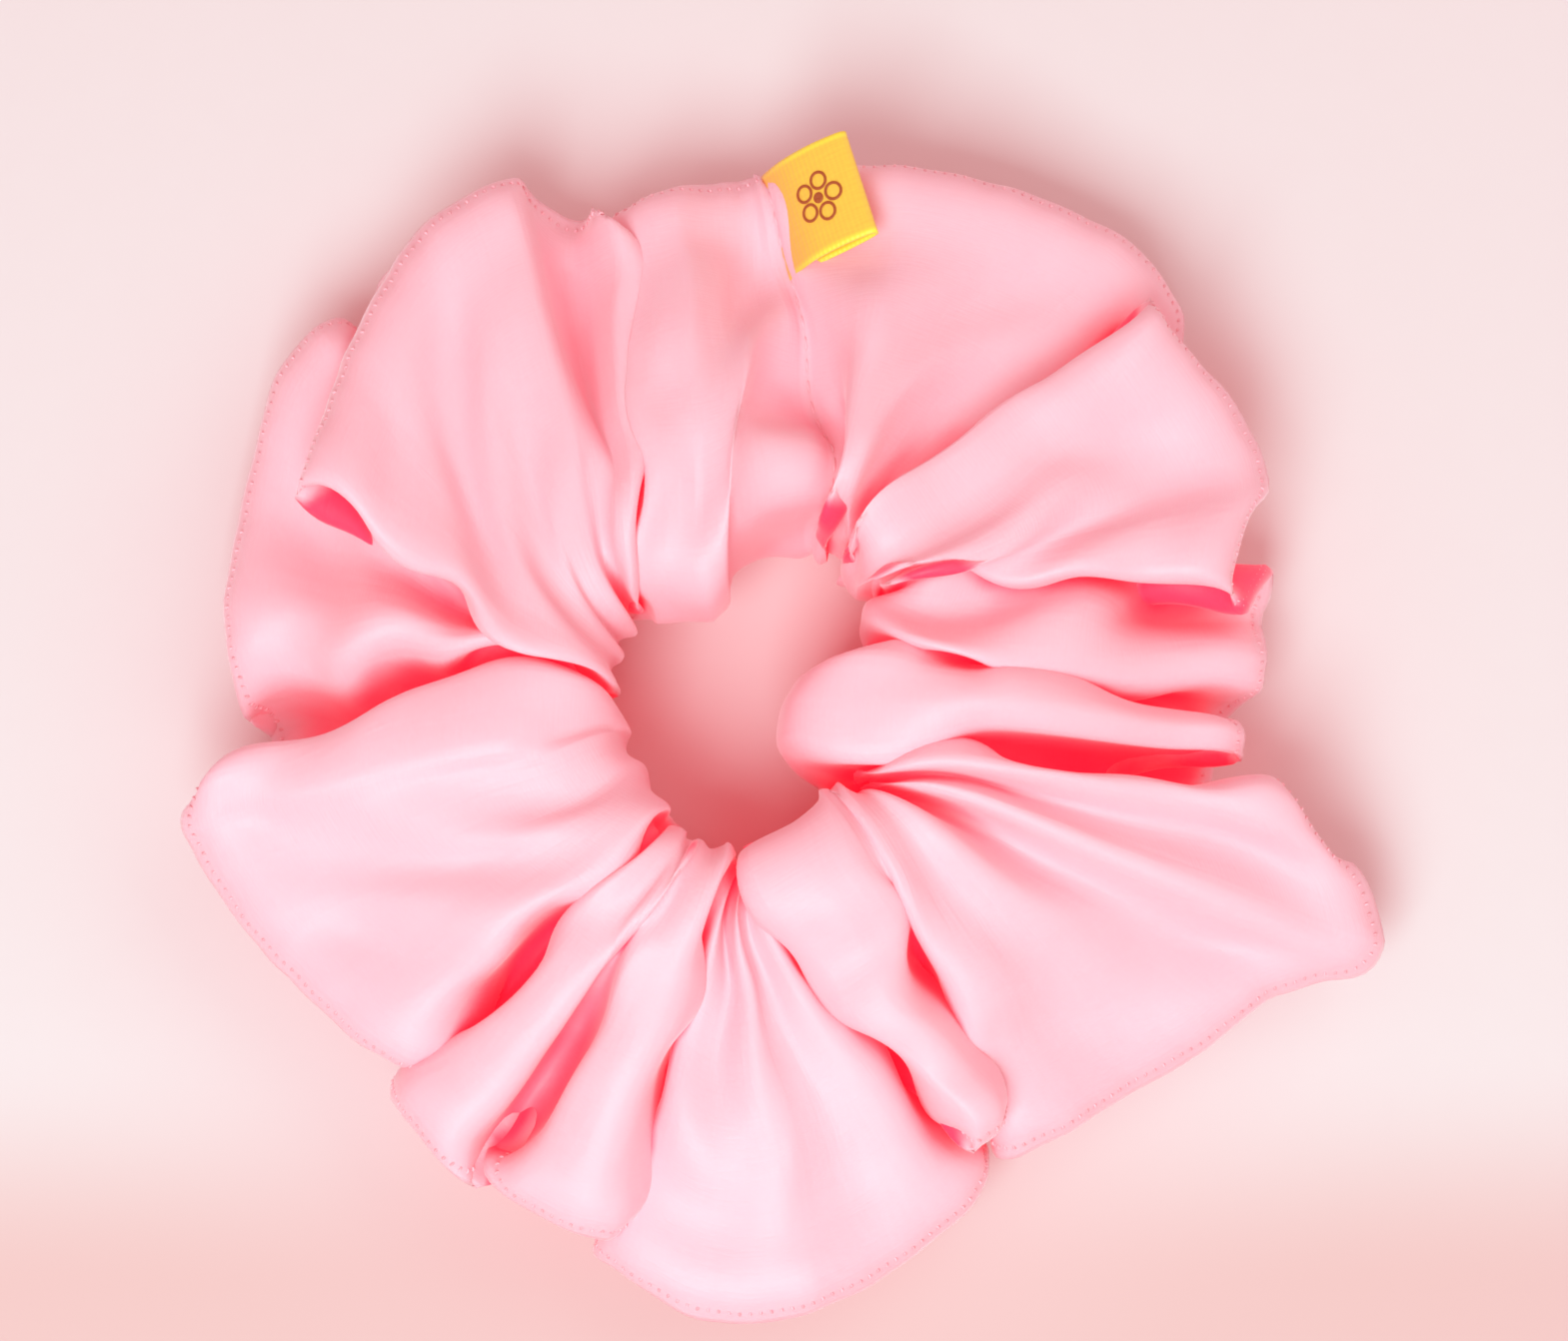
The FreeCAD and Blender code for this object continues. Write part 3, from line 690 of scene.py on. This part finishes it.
def thread_material(name, colour):
    """Spun polyester sewing thread: two plies twisted together."""
    material, tree = new_tree(name)
    # The plies turn every 0.5 mm, and loose fibre ends blur them.
    plies = add(tree, "ShaderNodeTexWave", {
        "Vector": add(tree, "ShaderNodeTexCoord", out="Object"),
        "Scale": wave_scale(0.0005), "Distortion": 2.0, "Detail": 2.0,
    }, out="Fac", bands_direction="DIAGONAL")
    return finish(material, {
        "Base Color": add(tree, "ShaderNodeMix", {
            0: plies, 6: opaque(times(colour, (0.72, 0.72, 0.72))), 7: opaque(colour),
        }, out=2, data_type="RGBA"),
        "Normal": add(tree, "ShaderNodeBump", {"Height": plies, "Distance": 0.00005, "Strength": 0.7}),
        "Roughness": 0.6,
        "Sheen Weight": 0.3,
    })


def braid_material():
    """Knitted elastic braid, optic white polyester over rubber."""
    material, tree = new_tree("knitted elastic braid, white")
    place = add(tree, "ShaderNodeTexCoord", out="Object")
    # Plaited yarns cross every 0.9 mm.
    yarns = [
        add(tree, "ShaderNodeTexWave", {
            "Vector": add(tree, "ShaderNodeMapping", {"Vector": place, "Rotation": (0.0, lean, 0.6)}),
            "Scale": wave_scale(0.0009), "Distortion": 1.0,
        }, out="Fac")
        for lean in (0.7, -0.7)
    ]
    crossed = add(tree, "ShaderNodeMath", {0: yarns[0], 1: yarns[1]}, operation="MAXIMUM")
    return finish(material, {
        "Base Color": add(tree, "ShaderNodeMix", {
            0: crossed, 6: opaque(srgb("CFCAC6")), 7: opaque(srgb("F4F1EE")),
        }, out=2, data_type="RGBA"),
        "Normal": add(tree, "ShaderNodeBump", {
            "Height": crossed, "Distance": 0.00015, "Strength": 0.9,
        }),
        "Roughness": 0.8,
    })


def rubber_material():
    """Extruded natural rubber thread, dusted with talc."""
    material, tree = new_tree("extruded natural rubber")
    # Talc clings in specks about 0.2 mm across.
    talc = add(tree, "ShaderNodeTexNoise", {
        "Vector": add(tree, "ShaderNodeTexCoord", out="Object"), "Scale": 1 / 0.0002,
    })
    return finish(material, {
        "Base Color": add(tree, "ShaderNodeMix", {
            0: talc, 6: opaque(srgb("D9C49A")), 7: opaque(srgb("EFE6D2")),
        }, out=2, data_type="RGBA"),
        "Normal": add(tree, "ShaderNodeBump", {"Height": talc, "Distance": 0.00002, "Strength": 0.5}),
        "Roughness": 0.65,
        "IOR": 1.52,
    })


def ribbon_material(label):
    """Woven polyester ribbon, dyed golden yellow."""
    material, tree = new_tree("woven polyester ribbon, yellow")
    uv = add(tree, "ShaderNodeUVMap", uv_map="ribbon")
    # Weft ribs cross the ribbon every 0.3 mm, and the warps run along it as far apart.
    ribs = add(tree, "ShaderNodeTexWave", {
        "Vector": uv, "Scale": wave_scale(0.0003), "Distortion": 0.3,
    }, out="Fac", bands_direction="X")
    warps = add(tree, "ShaderNodeTexNoise", {
        "Vector": add(tree, "ShaderNodeMapping", {"Vector": uv, "Scale": (1 / 0.003, 1 / 0.0003, 1.0)}),
        "Scale": 1.0, "Detail": 2.0,
    })
    # The selvedge, 0.5 mm wide, is woven tighter and looks a shade brighter.
    from_middle = add(tree, "ShaderNodeMath", {
        0: add(tree, "ShaderNodeSeparateXYZ", {0: uv}, out="Y"),
    }, operation="ABSOLUTE")
    edge = add(tree, "ShaderNodeMapRange", {
        "Value": from_middle,
        "From Min": label.width / 2 - 0.0008, "From Max": label.width / 2 - 0.0003,
    })
    # Painted shade and a painted pink reflection towards the sewn edge. They stand in for the layers
    # shading each other and picking up the satin's pink.
    sewn = add(tree, "ShaderNodeMapRange", {
        "Value": add(tree, "ShaderNodeAttribute", out="Fac", attribute_name="reach"),
        "From Min": 0.0, "From Max": 0.006, "To Min": 0.75, "To Max": 0.0,
    })
    colour = add(tree, "ShaderNodeMix", {
        0: warps, 6: opaque(srgb("E3B23B")), 7: opaque(label.ribbon),
    }, out=2, data_type="RGBA")
    for share, code in ((edge, "FFDC3C"), (sewn, "F09A4A")):
        colour = add(tree, "ShaderNodeMix", {
            0: share, 6: colour, 7: opaque(srgb(code)),
        }, out=2, data_type="RGBA")
    weave = add(tree, "ShaderNodeMath", {0: ribs, 1: warps}, operation="ADD")
    return finish(material, {
        "Base Color": colour,
        "Normal": add(tree, "ShaderNodeBump", {"Height": weave, "Distance": 0.00005, "Strength": 0.7}),
        "Roughness": 0.5,
        "Sheen Weight": 0.2,
    })


def ink_material(label):
    """Screen-printed ink, dark brown, sunk a little into the weave."""
    material, tree = new_tree("screen-printed ink, brown")
    # The weave breaks the print up every 0.3 mm.
    broken = add(tree, "ShaderNodeTexNoise", {
        "Vector": add(tree, "ShaderNodeTexCoord", out="Object"), "Scale": 1 / 0.0003, "Detail": 1.0,
    })
    return finish(material, {
        "Base Color": add(tree, "ShaderNodeMix", {
            0: broken, 6: opaque(label.ink), 7: opaque(srgb("7C5A26")),
        }, out=2, data_type="RGBA"),
        "Normal": add(tree, "ShaderNodeBump", {"Height": broken, "Distance": 0.00003, "Strength": 0.5}),
        "Roughness": 0.55,
    })


def floor_material(colour):
    """Matt coated paper, off-white, with painted shade at its near edge and a painted pink reflection
    round the ring.
    """
    material, tree = new_tree("matt coated paper, off-white")
    place = add(tree, "ShaderNodeTexCoord", out="Object")
    tooth = add(tree, "ShaderNodeTexNoise", {"Vector": place, "Scale": 1 / 0.004})
    # Painted shade: the flat paper turns a darker peach towards its near edge, where the light would
    # fall off.
    near = add(tree, "ShaderNodeMapRange", {
        "Value": add(tree, "ShaderNodeSeparateXYZ", {0: place}, out="Y"),
        "From Min": -0.036, "From Max": -0.062,
    }, interpolation_type="SMOOTHSTEP")
    # Painted reflection: the paper turns pink inside the ring and for a little way round it. This
    # stands in for the satin's colour bounced onto it.
    away = add(tree, "ShaderNodeVectorMath", {0: place}, out="Value", operation="LENGTH")
    painted_bounce_light = add(tree, "ShaderNodeMapRange", {
        "Value": away, "From Min": 0.018, "From Max": 0.088, "To Min": 1.0, "To Max": 0.0,
    }, interpolation_type="SMOOTHSTEP")
    shade = opaque(colour)
    for share, tint in (
        (tooth, (0.985, 0.985, 0.985)), (near, (0.88, 0.70, 0.67)), (painted_bounce_light, (1.20, 0.90, 0.92)),
    ):
        shade = add(tree, "ShaderNodeMix", {
            0: share, 6: shade, 7: opaque(times(colour, tint)),
        }, out=2, data_type="RGBA")
    return finish(material, {"Base Color": shade, "Roughness": 0.9, "Specular IOR Level": 0.2})


# ---- the pieces ----

SIDE_ROW = 2 * RIM_ROW - 2
SEAM_COLUMN = 0
SIDE_STITCH = 0.75
CLOSING_ROWS = {
    "needle": slice(6, SIDE_ROW - 1),
    "bobbin": slice(2 * RIM_ROW + 4, 2 * ACROSS - 8),
}
MADE = {}


def cover_grid(context):
    """The settled cover, made once and shared by the pieces sewn to it."""
    if "grid" not in MADE:
        grid, MADE["total"] = settled_cover(context.scene.scrunchie_cloth.strip_width / MM)
        MADE["open"] = openness(grid[::2, ::2])
        MADE["normals"] = grid_normals(grid)
        if (grid[..., 2] * MADE["normals"][..., 2]).sum() < 0:
            raise RuntimeError("the cover's normals point inwards")
        MADE["grid"] = seamed(grid)
    return MADE["grid"]


def dip(away, depth, width):
    """A soft groove, deepest where away is 0."""
    return depth * np.exp(-(away / width) ** 2)


def seamed(grid):
    """Draws the cloth in along its two seams, where the stitches pull it tight."""
    columns, rows = grid.shape[:2]
    column = np.arange(columns)
    from_closing = np.minimum(column, columns - column) * 0.95
    from_side = np.abs(np.arange(rows) - SIDE_ROW)
    closing = dip(from_closing, 0.9, 0.9) - dip(from_closing - 2.6, 0.15, 1.3)
    puckers = np.sin(column * 2 * np.pi / 5)[:, None] * dip(from_side, 0.10, 2.5)
    depth = closing[:, None] + dip(from_side, 0.22, 0.8) + puckers
    return grid - MADE["normals"] * depth[..., None]


def stitches(name, places, normals, along, length, thread, material):
    """Short stitches that dip into the cloth at both ends, as one mesh on the ring."""
    bend = np.linspace(-1, 1, 7)
    arch = (1 - bend ** 2) * thread * 0.9 - thread * 0.45
    turn = np.linspace(0, 2 * np.pi, 8, endpoint=False)
    section = np.stack([np.cos(turn), np.sin(turn)], 1) * thread / 2
    taper = np.sqrt(np.maximum(1 - bend ** 6, 0.05))
    side = unit(np.cross(normals, along))
    line = (
        places[:, None] + along[:, None] * (bend * length / 2)[None, :, None]
        + normals[:, None] * arch[None, :, None]
    )
    ring = (
        side[:, None, None] * section[None, None, :, :1]
        + normals[:, None, None] * section[None, None, :, 1:]
    ) * taper[None, :, None, None]
    one = len(bend) * len(turn)
    quads = loop_faces(len(bend), len(turn), close_columns=False)
    starts = np.arange(len(places)) * one
    faces = (quads[None] + starts[:, None, None]).reshape(-1, 4).tolist()
    for start in starts.tolist():
        faces.append(list(range(start, start + len(turn)))[::-1])
        faces.append(list(range(start + one - len(turn), start + one)))
    piece = new_object(name, (line[:, :, None] + ring).reshape(-1, 3), faces, material)
    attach(piece, "ring")
    return piece


def along_line(points, normals, pitch):
    """Places spaced evenly along a run of points, and the run's normal and direction at each."""
    run = travelled(points)
    wanted = np.arange(pitch / 2, run[-1] - pitch / 2, pitch)
    places, ahead, behind = [read_along(wanted + step, run, points) for step in (0, 0.2, -0.2)]
    return places, unit(read_along(wanted, run, normals)), unit(ahead - behind)


class SCRUNCHIE_OT_cover(bpy.types.Operator):
    """Make the gathered satin cover"""

    bl_idname = "scrunchie.cover"
    bl_label = "Satin cover"

    def execute(self, context):
        cloth = context.scene.scrunchie_cloth
        grid = cover_grid(context)
        columns, rows = grid.shape[:2]
        index = loop_faces(columns, rows)
        piece = new_object(
            "gathered_satin_cover", grid.reshape(-1, 3), index, satin_material(cloth),
        )
        mesh = piece.data
        across, along = index % rows, index // rows
        across = np.where(across < across[:, :1] - 1, across + rows, across)
        along = np.where(along < along[:, :1] - 1, along + columns, along)
        spots = np.stack([
            along / columns * MADE["total"] * MM, across / rows * cloth.strip_width,
        ], -1)
        fill(mesh.uv_layers.new(name="cloth").data, "uv", spots)
        share = finer(MADE["open"][..., None])[..., 0]
        fill(mesh.attributes.new("openness", "FLOAT", "POINT").data, "value", share)
        shell = piece.modifiers.new("thickness", "SOLIDIFY")
        shell.thickness = cloth.thickness
        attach(piece, "ring")
        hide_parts("satin_cover")
        return {"FINISHED"}


class SCRUNCHIE_OT_side_seam(bpy.types.Operator):
    """Sew the side seam along the rim"""

    bl_idname = "scrunchie.side_seam"
    bl_label = "Side seam"

    def execute(self, context):
        cloth = context.scene.scrunchie_cloth
        line, normals = [
            np.vstack([each[:, SIDE_ROW], each[:1, SIDE_ROW]])
            for each in (cover_grid(context), MADE["normals"])
        ]
        places, facing, along = along_line(line, normals, cloth.side_pitch / MM)
        piece = stitches(
            "side_seam_stitches", places, facing, np.cross(facing, along), SIDE_STITCH,
            cloth.thread / MM, thread_material("spun polyester thread, pink", cloth.seam),
        )
        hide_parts("side_seam_needle_thread", "side_seam_bobbin_thread")
        return {"FINISHED"}


class SCRUNCHIE_OT_closing_seam(bpy.types.Operator):
    """Sew the closing seam across the tube"""

    bl_idname = "scrunchie.closing_seam"
    bl_label = "Closing seam"

    def execute(self, context):
        cloth = context.scene.scrunchie_cloth
        grid = cover_grid(context)
        pitch = cloth.closing_pitch / MM
        material = thread_material("spun polyester thread, closing seam", cloth.seam)
        for side, span in CLOSING_ROWS.items():
            places, facing, along = along_line(
                grid[SEAM_COLUMN, span], MADE["normals"][SEAM_COLUMN, span], pitch,
            )
            piece = stitches(
                f"closing_seam_{side}_stitches", places, facing, along,
                pitch * 0.8, cloth.thread / MM, material,
            )
            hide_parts(f"closing_seam_{side}_thread")
        return {"FINISHED"}


class SCRUNCHIE_OT_elastic(bpy.types.Operator):
    """Finish the elastic inside the cover"""

    bl_idname = "scrunchie.elastic"
    bl_label = "Elastic"

    def execute(self, context):
        finishes = {
            "elastic_braid": braid_material(),
            "elastic_rubber_cores": rubber_material(),
            "elastic_join_stitches": thread_material("spun polyester thread, white", srgb("F2EFEC")),
        }
        for node, material in finishes.items():
            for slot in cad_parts[node].material_slots:
                slot.material = material
        return {"FINISHED"}


# The label's side view: from the sewn edge along the lower layer, round the fold and back along
# the upper one, as shares of the label's length and heights in millimetres.
LABEL_SIDE = np.array([
    (-0.04, -0.90), (0.01, -0.30), (0.12, -0.05), (0.35, 0.05), (0.65, 0.00), (0.88, 0.15),
    (0.975, 0.45), (1.00, 0.95), (0.975, 1.45), (0.88, 1.80), (0.65, 2.10), (0.35, 1.75),
    (0.10, 0.70), (0.01, 0.00), (-0.04, -0.50),
])
# Where on the closing seam its two corners are sewn, which way it points and how high it starts.
LABEL_RADII = (44.6, 56.2)
LABEL_TURN = np.radians(17.5)
LABEL_LIFT = 0.7
LABEL_COLUMNS = 29
INK_LIFT = 0.05
INK_THICKNESS = 0.06
PETALS = 5


def label_surface(context):
    """The ribbon's outer face: a grid along its side view and across its width, and its normals."""
    label = context.scene.scrunchie_label
    grid = cover_grid(context)
    length, width = label.length / MM, label.width / MM
    top = grid[SEAM_COLUMN, :2 * RIM_ROW]
    radii = np.linalg.norm(top[:, :2], axis=1)
    ends = [top[20 + np.argmin(np.abs(radii[20:] - radius))] for radius in LABEL_RADII]
    wide = unit(ends[1] - ends[0])
    root = (ends[0] + ends[1]) / 2 + (0, 0, LABEL_LIFT)
    far = np.array([np.cos(LABEL_TURN), np.sin(LABEL_TURN), 0.0])
    # It lies just above the highest cloth under its outer half.
    offset = grid.reshape(-1, 3) - root
    reach = offset @ far
    under = (np.abs(offset @ wide) < width / 2 + 0.5) & (reach > length / 2) & (reach < length + 0.5)
    slope = (offset[under, 2] + 0.4) / reach[under]
    far[2] = max(slope.max(), -0.2)
    far = unit(far)
    up = unit(np.cross(far, wide))
    side = through(LABEL_SIDE, 8)
    shares = np.linspace(-0.5, 0.5, LABEL_COLUMNS) * width
    face = (
        root + wide * shares[None, :, None] + far * (side[:, 0] * length)[:, None, None]
        + up * side[:, 1][:, None, None]
    )
    outward = unit(np.cross(np.gradient(face, axis=1), np.gradient(face, axis=0)))
    if outward[len(side) // 4, LABEL_COLUMNS // 2] @ up > 0:
        outward = -outward
    return face, outward, side[:, 0] * length, shares


def slab(name, face, outward, thickness, material):
    """A closed sheet between a face and the same face moved inwards."""
    columns, rows = face.shape[:2]
    section = np.concatenate([face, (face - outward * thickness)[:, ::-1]], 1)
    faces = loop_faces(columns, 2 * rows, close_columns=False).tolist()
    last = (columns - 1) * 2 * rows
    for k in range(rows - 1):
        quad = [k, k + 1, 2 * rows - 2 - k, 2 * rows - 1 - k]
        faces.append(quad[::-1])
        faces.append([last + corner for corner in quad])
    return new_object(name, section.reshape(-1, 3), faces, material)


def outward_faces(piece):
    """Turns the faces of a closed mesh outwards."""
    mesh = piece.data
    if sum(face.center.dot(face.normal) * face.area for face in mesh.polygons) < 0:
        mesh.flip_normals()


class SCRUNCHIE_OT_label(bpy.types.Operator):
    """Make the folded ribbon label"""

    bl_idname = "scrunchie.label"
    bl_label = "Ribbon label"

    def execute(self, context):
        label = context.scene.scrunchie_label
        face, outward, along, across = label_surface(context)
        piece = slab("ribbon_label", face, outward, label.thickness / MM, ribbon_material(label))
        outward_faces(piece)
        mesh = piece.data
        run = travelled(face[:, 0])
        spots = np.stack(np.broadcast_arrays(run[:, None], across[None, :]), -1)
        spots = np.concatenate([spots, spots[:, ::-1]], 1).reshape(-1, 2) * MM
        corners = np.empty(len(mesh.loops), np.int32)
        mesh.loops.foreach_get("vertex_index", corners)
        fill(mesh.uv_layers.new(name="ribbon").data, "uv", spots[corners])
        reach = np.repeat(along[:, None], 2 * len(across), 1) * MM
        fill(mesh.attributes.new("reach", "FLOAT", "POINT").data, "value", reach)
        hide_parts("label_ribbon")
        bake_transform(piece)
        return {"FINISHED"}


class SCRUNCHIE_OT_print(bpy.types.Operator):
    """Print the blossom on the label's upper layer"""

    bl_idname = "scrunchie.print"
    bl_label = "Label print"

    def execute(self, context):
        label = context.scene.scrunchie_label
        face, outward, along, across = label_surface(context)
        upper = slice(len(along) // 2, None)
        steps, face, outward = along[upper][::-1], face[upper][::-1], outward[upper][::-1]
        centre = label.length / MM * 0.60
        around = np.linspace(0, 2 * np.pi, 33)
        petal, line = label.petal_radius / MM, label.ink_line / MM
        rings = [(0.0, 0.0, 0.02, 0.6)]
        circle = label.petal_circle / MM
        for bearing in np.linspace(0, 2 * np.pi, PETALS, endpoint=False):
            rings.append((circle * np.cos(bearing), circle * np.sin(bearing), petal - line, petal))
        points, faces = [], []
        for x, y, inner, outer in rings:
            radii = np.linspace(inner, outer, 4)
            spot_x = centre + x + np.cos(around[:, None]) * radii
            spot_y = y + np.sin(around[:, None]) * radii
            place = on_face(face, steps, across, spot_x, spot_y)
            normal = on_face(outward, steps, across, spot_x, spot_y)
            first = len(points)
            top = place + normal * (INK_LIFT + INK_THICKNESS)
            base = place + normal * INK_LIFT
            loop = np.concatenate([top, base[:, ::-1]], 1)[:-1]
            faces += (loop_faces(*loop.shape[:2]) + first).tolist()
            points += loop.reshape(-1, 3).tolist()
        piece = new_object("label_blossom", points, faces, ink_material(label))
        outward_faces(piece)
        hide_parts("label_print")
        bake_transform(piece)
        return {"FINISHED"}


def on_face(values, steps, across, x, y):
    """Values of a grid read at places along and across it."""
    i = np.interp(x, steps, np.arange(len(steps)))
    j = np.interp(y, across, np.arange(len(across)))
    low_i = np.minimum(i.astype(int), len(steps) - 2)
    low_j = np.minimum(j.astype(int), len(across) - 2)
    share_i, share_j = (i - low_i)[..., None], (j - low_j)[..., None]
    near = mix(values[low_i, low_j], values[low_i, low_j + 1], share_j)
    far = mix(values[low_i + 1, low_j], values[low_i + 1, low_j + 1], share_j)
    return mix(near, far, share_i)


# ---- the stage ----

ELEVATION = np.radians(80)
VIEW_CENTRE = Vector((0.0052, 0.0020, 0.014))
# Each light: a name, its place, its side in metres, its power in watts and its colour.
LIGHTS = (
    ("key softbox", (-0.14, -0.44, 0.66), 0.42, 6.6, "FFFFFF"),
    ("fill softbox", (0.55, 0.30, 0.60), 0.7, 2.2, "FFF6F4"),
)


def warm_shadows(view):
    """Lifts red in the shadows, as light filtered by pink satin does to the eye and the lens."""
    view.use_curve_mapping = True
    red = view.curve_mapping.curves[0]
    for tone, lifted in ((0.05, 0.17), (0.20, 0.46), (0.45, 0.68), (0.73, 0.87)):
        red.points.new(tone, lifted)
    view.curve_mapping.update()


class SCRUNCHIE_OT_stage(bpy.types.Operator):
    """Set the floor, the lights and the camera"""

    bl_idname = "scrunchie.stage"
    bl_label = "Stage"

    def execute(self, context):
        scene = context.scene
        stage = scene.scrunchie_stage
        corners = [(x * 1500, y * 1500, 0.0) for x, y in ((-1, -1), (1, -1), (1, 1), (-1, 1))]
        floor = new_object("floor", corners, [(0, 1, 2, 3)], floor_material(stage.floor))
        for name, place, side, power, colour in LIGHTS:
            light = bpy.data.lights.new(name, "AREA")
            light.shape = "SQUARE"
            light.size = side
            light.energy = power
            light.color = srgb(colour)
            stand = bpy.data.objects.new(name, light)
            stand.location = place
            stand.rotation_euler = (-Vector(place)).to_track_quat("-Z", "Y").to_euler()
            scene.collection.objects.link(stand)
        world = bpy.data.worlds.new("white studio")
        world.use_nodes = True
        sky = world.node_tree.nodes["Background"]
        sky.inputs["Color"].default_value = opaque(srgb("FFF4F3"))
        sky.inputs["Strength"].default_value = 0.48
        scene.world = world
        scene.view_settings.view_transform = "Standard"
        warm_shadows(scene.view_settings)
        camera = bpy.data.cameras.new("camera")
        camera.lens = 100
        camera.sensor_width = 36
        camera.clip_start = 0.01
        distance = stage.view_width * camera.lens / camera.sensor_width
        stand = bpy.data.objects.new("camera", camera)
        towards = Vector((0.0, -np.cos(ELEVATION), np.sin(ELEVATION)))
        stand.location = VIEW_CENTRE + towards * distance
        stand.rotation_euler = (-towards).to_track_quat("-Z", "Y").to_euler()
        scene.collection.objects.link(stand)
        scene.camera = stand
        return {"FINISHED"}


# ---- the add-on ----

STEPS = ("cover", "side_seam", "closing_seam", "elastic", "label", "print", "stage")


class SCRUNCHIE_PT_panel(bpy.types.Panel):
    """The scrunchie's sizes, colours and pieces"""

    bl_label = "Scrunchie"
    bl_idname = "SCRUNCHIE_PT_panel"
    bl_space_type = "VIEW_3D"
    bl_region_type = "UI"
    bl_category = "Scrunchie"

    def draw(self, context):
        layout = self.layout
        for name in GROUPS:
            group = getattr(context.scene, name)
            box = layout.box()
            for setting in group.__annotations__:
                box.prop(group, setting)
        for step in STEPS:
            layout.operator(f"scrunchie.{step}")


GROUPS = {
    "scrunchie_cloth": ScrunchieCloth,
    "scrunchie_label": ScrunchieLabel,
    "scrunchie_stage": ScrunchieStage,
}
CLASSES = (
    *GROUPS.values(), SCRUNCHIE_OT_cover, SCRUNCHIE_OT_side_seam, SCRUNCHIE_OT_closing_seam,
    SCRUNCHIE_OT_elastic, SCRUNCHIE_OT_label, SCRUNCHIE_OT_print, SCRUNCHIE_OT_stage,
    SCRUNCHIE_PT_panel,
)


def register():
    for each in CLASSES:
        bpy.utils.register_class(each)
    for name, group in GROUPS.items():
        setattr(bpy.types.Scene, name, bpy.props.PointerProperty(type=group))


def unregister():
    for name in GROUPS:
        delattr(bpy.types.Scene, name)
    for each in reversed(CLASSES):
        bpy.utils.unregister_class(each)


def main():
    register()
    for step in STEPS:
        getattr(bpy.ops.scrunchie, step)()


if __name__ == "__main__":
    main()
